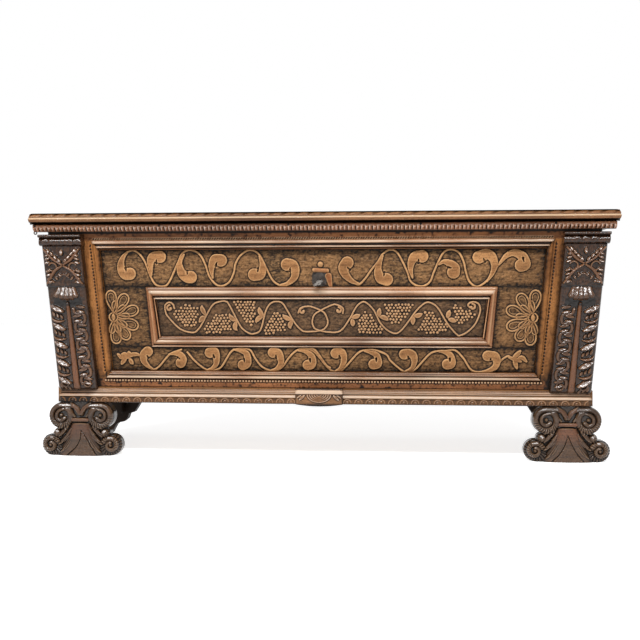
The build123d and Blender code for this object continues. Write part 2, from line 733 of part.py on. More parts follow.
def key():
    """Hollow key: bored shank, bit in the bolt's notch, collar and ring bow."""
    inner_end = -WALL - CASE_DEPTH + KEY_END_GAP
    shank_end = KEY_COLLAR_START + KEY_COLLAR_LENGTH
    body = lock_round(KEY_RADIUS, inner_end, shank_end + 2)
    body += lock_round(KEY_COLLAR_RADIUS, KEY_COLLAR_START, shank_end)
    turned = Rot(0, 0, KEY_REST_ANGLE)
    axis_point = Pos(0, slope(KEY_HEIGHT))
    half = BOLT_THICKNESS / 2
    bit = Pos(KEY_BIT_REACH / 2 + 1, 0) * Rectangle(KEY_BIT_REACH - 2, KEY_BIT_THICKNESS)
    body += extrude(FRONT.offset(SLOT_MID - half) * (axis_point * turned * bit), 2 * half, dir=OUTWARD)
    angle = math.radians(KEY_REST_ANGLE)
    across = FRONT.x_dir * math.cos(angle) + FRONT.y_dir * math.sin(angle)
    middle = on_front(0, KEY_HEIGHT, shank_end + BOW_LENGTH / 2)
    plane = Plane(origin=middle, x_dir=across, z_dir=across.cross(OUTWARD))
    ring = Ellipse(BOW_WIDTH / 2, BOW_LENGTH / 2) - Ellipse(BOW_WIDTH / 2 - BOW_BAR, BOW_LENGTH / 2 - BOW_BAR)
    body += extrude(plane * ring, BOW_BAR / 2, both=True)
    return body - lock_round(KEY_PIN_RADIUS + KEY_BORE_GAP, inner_end - 1, inner_end + KEY_BORE_LENGTH)


def lock_staple():
    """Plate under the lid with the eye that the bolt's nib enters."""
    length, width, thickness = STAPLE_PLATE
    middle = on_front(0, NIB_LEVEL, SLOT_MID).Y
    under_lid = Pos(STAPLE_X, middle, RIM_HEIGHT)
    plate = Pos(0, 0, -thickness / 2) * Box(length, width, thickness)
    loop = Pos(0, 0, -STAPLE_DROP / 2) * Box(STAPLE_THICKNESS, STAPLE_WIDTH, STAPLE_DROP)
    eye_drop = STAPLE_DROP - STAPLE_WALL - thickness
    eye = Box(STAPLE_THICKNESS * 2, STAPLE_WIDTH - 2 * STAPLE_WALL, eye_drop)
    loop -= Pos(0, 0, -thickness - eye_drop / 2) * eye
    return under_lid * (plate + loop)


# ------------------------------------------------------------------ hinges
def hinge_round(x, radius, width):
    """Cylinder on the hinge line."""
    plane = Plane(origin=(x, HINGE_Y, RIM_HEIGHT), z_dir=(1, 0, 0))
    return plane * Cylinder(radius, width)


def hinge_notch(x):
    """What the back board gives up to one hinge: strap notch, leaf pocket and knuckle groove."""
    low = RIM_HEIGHT - HINGE_PLATE
    half = HINGE_WIDTH / 2
    strap = level_block(
        x - half - LET_IN_GAP, x + half + LET_IN_GAP, BACK_Y - WALL - 1, BACK_Y + 1, low - 0.1, RIM_HEIGHT + 1
    )
    pocket = level_block(x - half, x + half, BACK_Y - HINGE_PLATE, BACK_Y + 1, RIM_HEIGHT - LEAF_LENGTH, RIM_HEIGHT)
    groove = hinge_round(x, KNUCKLE_RADIUS + LET_IN_GAP, HINGE_WIDTH + 2 * PIN_HEAD + 2)
    return strap + pocket + groove


def hinge_strap(x):
    """Strap under the lid with the middle knuckle."""
    half = HINGE_WIDTH / 2
    low = RIM_HEIGHT - HINGE_PLATE
    neck = HINGE_Y - KNUCKLE_RADIUS - LET_IN_GAP
    strap = level_block(x - half, x + half, neck - STRAP_LENGTH, neck, low, RIM_HEIGHT)
    tongue = KNUCKLE_WIDTH / 2
    strap += level_block(x - tongue, x + tongue, neck - 1, HINGE_Y, low, RIM_HEIGHT)
    strap += hinge_round(x, KNUCKLE_RADIUS, KNUCKLE_WIDTH)
    return strap - hinge_round(x, PIN_RADIUS + PIN_GAP, HINGE_WIDTH * 2)


def hinge_leaf(x):
    """Leaf let into the rear of the back board, with the two outer knuckles."""
    half = HINGE_WIDTH / 2
    neck = RIM_HEIGHT - KNUCKLE_RADIUS - LET_IN_GAP
    leaf = level_block(x - half, x + half, BACK_Y - HINGE_PLATE, BACK_Y, RIM_HEIGHT - LEAF_LENGTH, neck)
    inner = KNUCKLE_WIDTH / 2 + KNUCKLE_GAP
    width = half - inner
    for side in (-1, 1):
        centre = x + side * (inner + width / 2)
        low_y = BACK_Y - HINGE_PLATE
        leaf += level_block(centre - width / 2, centre + width / 2, low_y, BACK_Y, neck - 1, RIM_HEIGHT - HINGE_PLATE)
        leaf += hinge_round(centre, KNUCKLE_RADIUS, width)
    return leaf - hinge_round(x, PIN_RADIUS + PIN_GAP, HINGE_WIDTH * 2)


def hinge_pin(x):
    """Headed pin through the three knuckles."""
    pin = hinge_round(x, PIN_RADIUS, HINGE_WIDTH + 0.4)
    for side in (-1, 1):
        pin += hinge_round(x + side * (HINGE_WIDTH / 2 + 0.2 + PIN_HEAD / 2), PIN_HEAD_RADIUS, PIN_HEAD)
    return pin


# ------------------------------------------------------------------ nails
def moulding_nails():
    """Nails in the inner frame's top and bottom members and in the two frame mouldings."""
    nails = []
    frame_out = INNER_FRAME_THICKNESS - 4
    for share in (-0.85, -0.45, 0.0, 0.42, 0.86):
        nails.append(nail(on_front(share * inner_x(INNER_HIGH), INNER_HIGH - INNER_FRAME_TOP / 2, frame_out), OUTWARD))
        nails.append(nail(on_front(share * inner_x(INNER_LOW), INNER_LOW + INNER_FRAME_BOTTOM / 2, frame_out), OUTWARD))
    return nails


def rail_nails():
    """Nails in the valley of the frame mouldings."""
    nails = []
    out = FRAME_THICKNESS + MOULDING_THICKNESS * 0.4
    for low in (FIELD_HIGH, FIELD_LOW - MOULDING_HEIGHT):
        for share in (-0.9, -0.55, -0.2, 0.15, 0.5, 0.92):
            nails.append(nail(on_front(share * field_x(low), low + MOULDING_HEIGHT / 2, out), OUTWARD))
    return nails


def escutcheon_nails():
    width, height, thickness = ESCUTCHEON
    spread_x, spread_z = width * 0.32, height * 0.36
    return [
        nail(on_front(sx * spread_x, KEY_HEIGHT + ESCUTCHEON_RISE + sz * spread_z, thickness), OUTWARD)
        for sx in (-1, 1) for sz in (-1, 1)
    ]


def hinge_nails():
    """Nails of the lid straps, whose heads lie on the straps."""
    neck = HINGE_Y - KNUCKLE_RADIUS
    return [
        nail((side * HINGE_X + step, neck - STRAP_LENGTH * share, RIM_HEIGHT - HINGE_PLATE), (0, 0, -1))
        for side in (-1, 1)
        for share, step in ((0.22, 8), (0.45, -8), (0.68, 8), (0.92, 0))
    ]


def leaf_nails():
    """Nails of the rear leaves."""
    return [
        nail((side * HINGE_X + step, BACK_Y, RIM_HEIGHT - LEAF_LENGTH * share), (0, 1, 0))
        for side in (-1, 1)
        for share, step in ((0.35, 9), (0.6, -9), (0.85, 9))
    ]


def lip_nails():
    """Nails up the front of the lip, one of them at the left end."""
    half = LID_LENGTH / 2 - LIP_INSET
    front = NOSE_Y + LIP_SETBACK
    return [
        nail((share * half, front, RIM_HEIGHT - LIP_HEIGHT * 0.22), (0, -1, 0))
        for share in (-0.992, -0.55, -0.1, 0.35, 0.8)
    ]


# ------------------------------------------------------------------ export
def all_parts():
    """Every sub-part by name."""
    parts = {
        "front_board": front_board(),
        "back_board": back_board(),
        "bottom_board": bottom_board(),
        "bottom_battens": bottom_battens(),
        "frame_top_rail": top_rail(),
        "frame_bottom_rail": bottom_rail(),
        "top_moulding": frame_moulding(FIELD_HIGH, CAPITAL_STEP),
        "bottom_moulding": frame_moulding(FIELD_LOW - MOULDING_HEIGHT),
        "vine_panel": vine_panel(),
        "plinth_plaque": plinth_plaque(),
        "foot_brackets": foot_brackets(),
        "lid_board": lid_board(),
        "lid_lip": lid_lip(),
        "lock_case": lock_case(),
        "lock_cover": lock_cover(),
        "lock_bolt": lock_bolt(),
        "lock_staple": lock_staple(),
        "escutcheon": escutcheon(),
        "key": key(),
        "moulding_nails": moulding_nails(),
        "rail_nails": rail_nails(),
        "escutcheon_nails": escutcheon_nails(),
        "hinge_strap_nails": hinge_nails(),
        "hinge_leaf_nails": leaf_nails(),
        "lip_nails": lip_nails(),
    }
    parts.update(inner_frame())
    for name, solid in (
        ("end_board", end_board()),
        ("frame_stile", stile()),
        ("pilaster", pilaster()),
        ("plinth_front", plinth_front()),
        ("plinth_end", plinth_end()),
        ("front_foot", front_foot()),
        ("rear_foot", rear_foot()),
        ("lid_cleat", lid_cleat()),
        ("hinge_strap", hinge_strap(HINGE_X)),
        ("hinge_leaf", hinge_leaf(HINGE_X)),
        ("hinge_pin", hinge_pin(HINGE_X)),
    ):
        parts.update(left_and_right(name, solid))
    return parts


os.makedirs("parts", exist_ok=True)
for name, shape in all_parts().items():
    solids = shape if isinstance(shape, list) else shape.solids()
    node = Compound(label=name, children=solids) if len(solids) > 1 else solids[0]
    export_step(node, "parts/" + name + ".step")
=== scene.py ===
import json
import math

import bpy
import numpy as np
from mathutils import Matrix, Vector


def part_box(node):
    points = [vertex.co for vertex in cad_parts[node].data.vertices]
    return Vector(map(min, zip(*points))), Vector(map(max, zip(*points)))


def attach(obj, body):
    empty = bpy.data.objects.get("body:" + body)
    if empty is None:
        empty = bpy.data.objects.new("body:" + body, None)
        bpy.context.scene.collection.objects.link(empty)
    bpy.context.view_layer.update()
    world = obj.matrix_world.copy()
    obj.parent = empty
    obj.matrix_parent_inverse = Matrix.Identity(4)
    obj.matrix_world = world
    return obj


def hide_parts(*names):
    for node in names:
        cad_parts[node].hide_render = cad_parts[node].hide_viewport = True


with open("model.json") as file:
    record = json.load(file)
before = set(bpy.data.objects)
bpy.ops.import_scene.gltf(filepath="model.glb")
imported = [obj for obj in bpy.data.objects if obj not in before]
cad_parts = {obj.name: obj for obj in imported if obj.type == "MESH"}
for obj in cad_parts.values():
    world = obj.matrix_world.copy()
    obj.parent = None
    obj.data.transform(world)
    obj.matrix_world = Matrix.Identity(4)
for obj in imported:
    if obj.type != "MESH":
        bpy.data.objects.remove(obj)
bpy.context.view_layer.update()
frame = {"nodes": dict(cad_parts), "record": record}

# Lengths are in millimetres until a mesh is made. X runs along the chest, the front faces -Y.
# A place on the leaning front is (x, height, out): out is square to the front board.
MM = 0.001
SIDES = {-1: "left", 1: "right"}
PITCH = 1.4               # spacing of the points on a carved face
FINE_PITCH = 1.15         # the same on pilasters and feet
LONG_PITCH = 1.3          # the same along rails, stiles, plinth and lip


def node_box(node):
    """Lowest and highest corner of a CAD node, in millimetres."""
    low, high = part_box(node)
    return np.array(low) / MM, np.array(high) / MM


LID_LOW, LID_HIGH = node_box("lid_board")
LIP_LOW, LIP_HIGH = node_box("lid_lip")
FOOT_LOW, FOOT_TOP = node_box("front_foot_right")
PLINTH_LOW, PLINTH_HIGH = node_box("plinth_front_right")
PLAQUE_LOW, PLAQUE_HIGH = node_box("plinth_plaque")
RIM_END_X = node_box("end_board_right")[1][0]
RIM_FRONT_Y = node_box("front_board")[0][1]

TAPER = 0.085             # how far the ends and the front lean in for each unit of fall
LEAN = math.atan(TAPER)
RIM = LID_LOW[2]
LID_GAP = 2.0             # between the rim and the top rail
TOP_RAIL = 61.5
BOTTOM_RAIL = 44.0
FRAME_OUT = 16.0          # face of the frame on the front
STILE = 38.5
FIELD_MARGIN = 112.0      # from the stile to the inner frame
UPPER_SHARE = 0.305       # carved strip over the inner frame, of the field's height
LOWER_SHARE = 0.196
INNER_FRAME_TOP = 34.5
INNER_FRAME_BOTTOM = 29.0
INNER_FRAME_SIDE = 26.0
MOULDING_HIGH = 21.0      # moulding over the bottom rail
STILE_MOULDING = 17.0     # how far the mitres reach on the stile
PILASTER_REVEAL = 12.0    # pilaster past the end board
PILASTER_WIDTH = 104.0
PILASTER_DROP = 6.0       # pilaster past the top of the plinth
CAPITAL_DROP = 22.0       # capital below the rim
CAPITAL_HIGH = 30.0
CAPITAL_STEP = 4.0        # capital past the block
BLOCK_SIZE = 105.0
CLAW_SIZE = 42.0

PLINTH_TOP = PLINTH_HIGH[2]
FOOT_HEIGHT = FOOT_TOP[2]
FIELD_LOW = PLINTH_TOP + BOTTOM_RAIL
FIELD_HIGH = RIM - LID_GAP - TOP_RAIL
INNER_LOW = FIELD_LOW + LOWER_SHARE * (FIELD_HIGH - FIELD_LOW)
INNER_HIGH = FIELD_HIGH - UPPER_SHARE * (FIELD_HIGH - FIELD_LOW)
CAPITAL_TOP = RIM - CAPITAL_DROP
BLOCK_HIGH = CAPITAL_TOP - CAPITAL_HIGH
BLOCK_LOW = BLOCK_HIGH - BLOCK_SIZE
SHAFT_HIGH = BLOCK_LOW - CLAW_SIZE
PILASTER_LOW = PLINTH_TOP - PILASTER_DROP


def end_x(height):
    """Outer face of the right end board."""
    return RIM_END_X - TAPER * (RIM - height)


def front_y(height):
    """Outer face of the front board."""
    return RIM_FRONT_Y + TAPER * (RIM - height)


def pilaster_mid(height):
    return end_x(height) + PILASTER_REVEAL - PILASTER_WIDTH / 2


def pilaster_in(height):
    return end_x(height) + PILASTER_REVEAL - PILASTER_WIDTH


def field_x(height):
    return pilaster_in(height) - STILE


def inner_x(height):
    return field_x(height) - FIELD_MARGIN


def mirrored(edge):
    """An edge, given as a function of the height, on the other side of the chest."""
    return lambda height: -edge(height)


def straight(x):
    """Edge that has the same x at each height."""
    return lambda height: 0 * height + x


def clamped(values):
    """Values kept between 0 and 1."""
    return np.clip(values, 0, 1)


def hump(distance, width):
    """1 in the middle of a smooth hump and 0 well beyond its width."""
    return np.exp(-(distance / width) ** 2)


def on_front(x, height, out):
    """World points of places on the leaning front."""
    x, height, out = np.broadcast_arrays(x, height, out)
    y = front_y(height) - out * math.cos(LEAN)
    return np.stack([x, y, height - out * math.sin(LEAN)], axis=-1)


def upright(y):
    """Placing function for an upright face at y."""
    def place(x, height, out):
        x, height, out = np.broadcast_arrays(x, height, out)
        return np.stack([x, y - out, height], axis=-1)
    return place


# ------------------------------------------------------------------ meshes
PATH_SPACING = 1.5        # between the points of a smooth line, at most


def new_object(name, data):
    """A linked object for a mesh, lamp or camera."""
    item = bpy.data.objects.new(name, data)
    bpy.context.scene.collection.objects.link(item)
    return item


def add_piece(name, parts, material, replaced=(), layers=None, body="carcass"):
    """One named object from closed parts, each (points, faces, flat faces).

    layers gives a number for each point of the first part, by attribute name.
    """
    points, faces, smooth = [], [], []
    for part_points, curved, flat in parts:
        start = len(points)
        points.extend((np.asarray(part_points) * MM).tolist())
        faces.extend([[start + corner for corner in face] for face in (*curved, *flat)])
        smooth.extend([True] * len(curved) + [False] * len(flat))
    mesh = bpy.data.meshes.new(name)
    mesh.from_pydata(points, [], faces)
    mesh.polygons.foreach_set("use_smooth", smooth)
    for layer, values in (layers or {}).items():
        padded = np.zeros(len(points))
        padded[: values.size] = values.ravel()
        mesh.attributes.new(layer, "FLOAT", "POINT").data.foreach_set("value", padded)
    mesh.materials.append(material)
    mesh.update()
    piece = new_object(name, mesh)
    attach(piece, body)
    if replaced:
        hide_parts(*replaced)
    return piece


def grid_faces(rows, columns):
    """Quads of a grid whose rows go up and whose columns go right, facing the front."""
    index = np.arange(rows * columns).reshape(rows, columns)
    corners = [index[:-1, :-1], index[:-1, 1:], index[1:, 1:], index[1:, :-1]]
    return np.stack(corners, axis=-1).reshape(-1, 4).tolist()


def grid_rim(rows, columns):
    """Indices round the edge of a grid, counter-clockwise from the lower left corner."""
    index = np.arange(rows * columns).reshape(rows, columns)
    return np.concatenate([index[0, :-1], index[:-1, -1], index[-1, :0:-1], index[:0:-1, 0]])


def slab(x, height, out, back, place=on_front):
    """Closed slab with a carved face and a flat back."""
    rows, columns = x.shape
    face = place(x, height, out).reshape(-1, 3)
    rim = grid_rim(rows, columns)
    rear = place(x.ravel()[rim], height.ravel()[rim], back)
    count, first = len(rim), rows * columns
    skirt = []
    for here in range(count):
        following = (here + 1) % count
        skirt.append([int(rim[here]), first + here, first + following, int(rim[following])])
    skirt.append([first + here for here in reversed(range(count))])
    return np.vstack([face, rear]), grid_faces(rows, columns), skirt


def tube(rings):
    """Closed tube through rings of points, an array (ring, corner, 3), with flat ends."""
    count, corners = rings.shape[:2]
    sides = []
    for ring in range(count - 1):
        for corner in range(corners):
            following = (corner + 1) % corners
            here, there = ring * corners, (ring + 1) * corners
            sides.append([here + corner, here + following, there + following, there + corner])
    start = list(reversed(range(corners)))
    end = [(count - 1) * corners + corner for corner in range(corners)]
    return rings.reshape(-1, 3), sides, [start, end]


def smooth_path(points):
    """Points close together along a smooth line through the given ones."""
    points = np.asarray(points, float)
    padded = np.vstack([2 * points[0] - points[1], points, 2 * points[-1] - points[-2]])
    runs = []
    for before, start, end, after in zip(padded, padded[1:], padded[2:], padded[3:]):
        steps = max(2, math.ceil(np.linalg.norm((end - start)[:2]) / PATH_SPACING))
        t = np.linspace(0, 1, steps, endpoint=False)[:, None]
        bend = (2 * before - 5 * start + 4 * end - after) * t ** 2
        twist = (3 * start - before - 3 * end + after) * t ** 3
        runs.append(0.5 * (2 * start + (end - before) * t + bend + twist))
    return np.vstack(runs + [points[-1:]])


def tapered(points, start, end=None):
    """A smooth path with a third column: a radius, the same all along or changing evenly."""
    path = smooth_path(points)
    end = start if end is None else end
    return np.column_stack([path, start + (end - start) * np.linspace(0, 1, len(path))])


def bulged(points, ends, middle):
    """A smooth path whose radius is widest in the middle."""
    path = smooth_path(points)
    share = np.sin(np.linspace(0, math.pi, len(path)))
    return np.column_stack([path, ends + (middle - ends) * share])


def arc(centre, radius, start=0.0, turn=360.0, end_radius=None, flat=1.0):
    """Points on an arc or, with an end radius, on a spiral. Angles in degrees."""
    count = max(5, round(abs(turn) / 15) + 1)
    angle = np.radians(start + np.linspace(0, turn, count))
    reach = np.linspace(radius, radius if end_radius is None else end_radius, count)
    return np.column_stack([centre[0] + reach * np.cos(angle), centre[1] + flat * reach * np.sin(angle)])


def flat_top(height, edge=1.8):
    """Profile of a stroke that rises to a flat top over an edge."""
    def profile(distance, radius):
        rise = clamped((radius - distance) / edge)
        return height * rise * rise * (3 - 2 * rise)
    return profile


def round_top(height):
    """Half-round profile."""
    def profile(distance, radius):
        return height * np.sqrt(clamped(1 - (distance / radius) ** 2))
    return profile


# ------------------------------------------------------------------ carving
SHORT_STROKE = 18.0       # a stroke that rises less than this has one slope throughout
FACET_DEPTH = 1.5         # how far a facet cuts into a round stroke
DASH_LENGTH = 6           # points


def face_grid(left, right, low, high, pitch=PITCH):
    """Rows of points (x, height) between two edges."""
    rows = max(2, round((high - low) / pitch) + 1)
    middle = (low + high) / 2
    columns = max(2, round((right(middle) - left(middle)) / pitch) + 1)
    level = np.linspace(low, high, rows)[:, None]
    x = left(level) + (right(level) - left(level)) * np.linspace(0, 1, columns)[None, :]
    return x, np.broadcast_to(level, x.shape).copy()


class Carving:
    """Points of a face, with what is raised from it and what is cut into it."""

    def __init__(self, x, height):
        self.x, self.height = x, height
        self.raised, self.cut = np.zeros(x.shape), np.zeros(x.shape)

    def stroke(self, path, profile, cut=False, tilt=0.0, facet=0.0):
        """Stamps a profile along a path of (x, height, radius).

        tilt is the slope of its top, whose lower side is prouder.
        facet is the slope of a flat cut along the upper side of a round stroke.
        """
        layer = self.cut if cut else self.raised
        levels = [height for _, height, _ in path]
        middle = (min(levels) + max(levels)) / 2
        short = max(levels) - min(levels) < SHORT_STROKE
        for x, height, radius in path:
            rows = np.searchsorted(self.height[:, 0], [height - radius, height + radius])
            if rows[0] >= rows[1]:
                continue
            columns = np.nonzero((abs(self.x[rows[0]:rows[1]] - x) < radius).any(axis=0))[0]
            if not columns.size:
                continue
            area = (slice(*rows), slice(columns[0], columns[-1] + 1))
            shape = profile(np.hypot(self.x[area] - x, self.height[area] - height), radius)
            if facet:
                reach = math.hypot(profile(0.0, radius), facet * radius) - FACET_DEPTH
                shape = np.minimum(shape, reach - facet * (self.height[area] - height))
            above = self.height[area] - (middle if short else height)
            layer[area] = np.maximum(layer[area], shape - tilt * above * clamped(shape / 3))

    def swag(self, path, profile):
        """A raised stroke on a grid whose rows aren't level."""
        for x, height, radius in path:
            columns = slice(*np.searchsorted(self.x[0], [x - radius, x + radius]))
            distance = np.hypot(self.x[:, columns] - x, self.height[:, columns] - height)
            self.raised[:, columns] = np.maximum(self.raised[:, columns], profile(distance, radius))

    def relief(self):
        return self.raised - self.cut

    def layers(self, full, warm=None, dirt_and_painted_light=0.0):
        """Attributes for the material: how far raised, how deep in a hollow (darkened for dirt and painted
        shade, and below zero lightened for rubbed edges and painted highlights), and how reddish.
        """
        surface = self.relief()
        # near and wide say how far a point lies below its surroundings; the material darkens it: painted
        # shade, with the dirt that gathers there.
        near = (blurred(surface, 3) - surface) / (0.28 * full)
        wide = (blurred(surface, 14) - surface) / (0.7 * full)
        return {
            "relief": clamped(self.raised / full),
            "cavity": np.clip(near + 0.7 * wide + dirt_and_painted_light, -1, 1),
            "warm": np.zeros(surface.shape) if warm is None else warm,
        }


def blurred(values, passes):
    """Values averaged with their neighbours."""
    for _ in range(passes):
        padded = np.pad(values, 1, mode="edge")
        values = (
            padded[1:-1, 1:-1] * 2 + padded[:-2, 1:-1] + padded[2:, 1:-1]
            + padded[1:-1, :-2] + padded[1:-1, 2:]
        ) / 6
    return values


def roughness(shape, seed, passes=1):
    """Seeded unevenness of about one unit."""
    noise = blurred(np.random.default_rng(seed).standard_normal(shape), passes)
    return noise / noise.std()


def dashes(shape, seed):
    """Seeded unevenness drawn out along the rows."""
    rows, columns = shape
    short = roughness((rows, columns // DASH_LENGTH + 2), seed)
    return np.repeat(short, DASH_LENGTH, axis=1)[:, :columns]


# ------------------------------------------------------------------ materials
# How a pattern is stretched for each direction of the grain.
GRAIN = {"x": (0.06, 1, 1), "y": (1, 0.06, 1), "z": (1, 1, 0.06)}
SPECULAR = 0.15
COAT_ROUGHNESS = 0.12
# Colour of dirt and painted shade in the hollows.
GRIME_AND_PAINTED_SHADE = (14, 9, 6)
RUST = (74, 50, 38)


def colour(rgb):
    """Linear colour from the usual 0 to 255 values."""
    values = [channel / 255 for channel in rgb]
    linear = [v / 12.92 if v < 0.04045 else ((v + 0.055) / 1.055) ** 2.4 for v in values]
    return (*linear, 1.0)


def shade_of(rgb, share):
    """Linear colour with its light scaled."""
    return tuple(channel * share for channel in colour(rgb)[:3]) + (1.0,)


class Nodes:
    """Short calls for building the node tree of a material or world."""

    def __init__(self, owner, shader="Principled BSDF"):
        owner.use_nodes = True
        self.tree = owner.node_tree
        self.shader = self.tree.nodes[shader]
        self.place = None

    def add(self, kind, **settings):
        node = self.tree.nodes.new(kind)
        for key, value in settings.items():
            setattr(node, key, value)
        return node

    def plug(self, socket, value):
        """Gives a socket a constant or another node's output."""
        if isinstance(value, bpy.types.NodeSocket):
            self.tree.links.new(value, socket)
        else:
            socket.default_value = value

    def feed(self, node, *values, **named):
        """Plugs a node's sockets, in order or by name, and returns the node."""
        for socket, value in zip(node.inputs, values):
            self.plug(socket, value)
        for name, value in named.items():
            self.plug(node.inputs[name.replace("_", " ")], value)
        return node

    def noise(self, scale, stretch=(1, 1, 1), detail=4.0, rough=0.6, distortion=0.0):
        if self.place is None:
            self.place = self.add("ShaderNodeTexCoord").outputs["Object"]
        mapping = self.feed(self.add("ShaderNodeMapping"), Vector=self.place, Scale=stretch)
        noise = self.feed(
            self.add("ShaderNodeTexNoise"), Vector=mapping.outputs["Vector"],
            Scale=scale, Detail=detail, Roughness=rough, Distortion=distortion,
        )
        return noise.outputs["Fac"]

    def spread(self, value, low, high, start=0.0, end=1.0):
        """Maps low..high to start..end, clamped."""
        return self.feed(self.add("ShaderNodeMapRange"), value, low, high, start, end).outputs["Result"]

    def attribute(self, name):
        return self.add("ShaderNodeAttribute", attribute_name=name).outputs["Fac"]

    def mix(self, share, first, second):
        """From the first colour, at a share of 0, to the second."""
        node = self.feed(self.add("ShaderNodeMix", data_type="RGBA"), Factor=share)
        for socket, value in zip(node.inputs[6:8], (first, second)):
            self.plug(socket, value)
        return node.outputs[2]

    def calc(self, operation, first, second):
        return self.feed(self.add("ShaderNodeMath", operation=operation), first, second).outputs[0]

    def bump(self, height, strength, distance):
        node = self.feed(self.add("ShaderNodeBump"), Height=height, Strength=strength, Distance=distance)
        self.feed(self.shader, Normal=node.outputs["Normal"])

    def seen(self):
        """1 for camera, glossy and transmission rays, and 0 for all others."""
        rays = self.add("ShaderNodeLightPath").outputs
        shown = self.calc("MAXIMUM", rays["Is Camera Ray"], rays["Is Glossy Ray"])
        return self.calc("MAXIMUM", shown, rays["Is Transmission Ray"])


def wood(
    name, dark, light, grain="x", gloss=0.35, coat=0.0,
    ground=None, edge=None, worn=0.0, warm=None, uneven=0.3,
):
    """Old waxed walnut: figure and pores along the grain, dirt and painted shade in the hollows, rubbed
    edges with painted highlights.

    Colours are RGB from 0 to 255: ground is a pair for what lies low, edge is for rubbed edges and painted
    highlights, and warm for reddish parts. worn is how far the low ground is rubbed light.
    """
    material = bpy.data.materials.new(name)
    make = Nodes(material)
    stretch = GRAIN[grain]
    figure = make.spread(make.noise(24, stretch, 6, 0.7, 0.8), 0.32, 0.68)
    patch = make.spread(make.noise(7), 0.38, 0.66)
    body = make.mix(figure, colour(dark), colour(light))
    if warm:
        body = make.mix(make.attribute("warm"), body, colour(warm))
    if ground:
        short_grain = tuple(0.45 if scale < 1 else scale for scale in stretch)
        specks = make.spread(make.noise(190, short_grain, 3, 0.7), 0.4, 0.62)
        low = make.mix(specks, colour(ground[0]), colour(ground[1]))
        rubbed = make.mix(make.calc("MULTIPLY", patch, worn), low, colour(light))
        body = make.mix(make.spread(make.attribute("relief"), 0.3, 0.75), rubbed, body)
    stains = make.spread(make.noise(3.2, detail=5, rough=0.62), 0.42, 0.68, 0.0, 0.6)
    pores = make.spread(make.noise(420, stretch, 3), 0.56, 0.7, 0.0, 0.6)
    flecks = make.spread(make.noise(300, detail=3), 0.5, 0.68, 0.0, 0.5)
    for spots, share in ((stains, 0.45), (pores, 0.3), (flecks, 0.25)):
        body = make.mix(spots, body, shade_of(dark, share))
    cavity = make.attribute("cavity")
    if edge:
        # Ridges, where the cavity is below zero, take the edge colour: rubbed edges and painted
        # highlights.
        body = make.mix(make.spread(cavity, -0.1, -0.75, 0.0, 0.6), body, colour(edge))
    # Hollows take the dark colour: dirt and painted shade.
    body = make.mix(make.spread(cavity, 0.04, 0.6, 0.0, 0.97), body, colour(GRIME_AND_PAINTED_SHADE))
    rough = make.spread(make.noise(45, stretch), 0.3, 0.7, gloss - 0.08, gloss + 0.12)
    make.feed(
        make.shader, Base_Color=body, Roughness=rough, Specular_IOR_Level=SPECULAR,
        Coat_Weight=coat, Coat_Roughness=COAT_ROUGHNESS,
    )
    make.bump(make.calc("ADD", make.noise(330, stretch, 3), make.noise(70)), uneven, 0.0005)
    return material


def iron(name, dark, light, gloss=0.5):
    """Forged iron, dark with worn places and a little rust."""
    material = bpy.data.materials.new(name)
    make = Nodes(material)
    body = make.mix(make.spread(make.noise(70, detail=5), 0.35, 0.65), colour(dark), colour(light))
    rust = make.calc("MULTIPLY", make.spread(make.noise(160), 0.6, 0.75), 0.5)
    rough = make.spread(make.noise(90), 0.3, 0.7, gloss - 0.1, gloss + 0.15)
    make.feed(make.shader, Base_Color=make.mix(rust, body, colour(RUST)), Metallic=0.75, Roughness=rough)
    make.bump(make.noise(120, detail=5), 0.5, 0.0006)
    return material


FIELD_WOOD = wood(
    "field_walnut", (128, 86, 52), (194, 142, 92), gloss=0.5,
    ground=((38, 28, 19), (140, 106, 70)), edge=(214, 168, 118), worn=0.45,
    warm=(140, 78, 46),
)
VINE_WOOD = wood(
    "vine_walnut", (124, 88, 58), (178, 132, 90), gloss=0.42,
    ground=((36, 27, 20), (108, 82, 58)), edge=(204, 162, 120), worn=0.2,
)
STILE_WOOD = wood("stile_walnut", (112, 68, 36), (194, 132, 74), grain="z", gloss=0.32)
RAIL_WOOD = wood(
    "rail_walnut", (108, 66, 40), (176, 116, 72), gloss=0.32, edge=(226, 190, 152)
)
MOULDING_WOOD = wood(
    "moulding_walnut", (90, 54, 32), (178, 124, 82), gloss=0.22, coat=0.14, edge=(230, 205, 178)
)
# Upright members: rubbed edges and painted highlights dimmer than on the level members.
SIDE_MOULDING_WOOD = wood(
    "side_moulding_walnut", (104, 62, 38), (176, 118, 76), grain="z", gloss=0.24, coat=0.14,
    edge=(206, 160, 118),
)
DARK_WOOD = wood(
    "pilaster_walnut", (62, 40, 26), (112, 77, 52), grain="z", gloss=0.2, coat=0.45, uneven=0.12,
    ground=((30, 17, 9), (74, 46, 27)), edge=(132, 98, 72), warm=(128, 78, 44),
)
FOOT_WOOD = wood(
    "foot_walnut", (56, 38, 25), (112, 82, 58), gloss=0.2, coat=0.5, uneven=0.12,
    ground=((32, 20, 12), (68, 48, 33)), edge=(132, 106, 80), warm=(122, 72, 42),
)
PLINTH_WOOD = wood(
    "plinth_walnut", (104, 66, 38), (188, 136, 90), gloss=0.22, coat=0.14, edge=(232, 208, 184)
)
LID_WOOD = wood(
    "lid_walnut", (104, 66, 40), (172, 122, 80), gloss=0.24, coat=0.14, edge=(228, 198, 162)
)
LIP_WOOD = wood(
    "lip_walnut", (130, 82, 56), (202, 140, 102), gloss=0.28, coat=0.1, edge=(240, 218, 200)
)
PLAIN_WOOD = wood("plain_walnut_x", (74, 48, 30), (120, 82, 52), gloss=0.4, coat=0.1)
PLAIN_WOOD_DEEP = wood("plain_walnut_y", (84, 54, 34), (130, 90, 58), grain="y", gloss=0.36, coat=0.2)
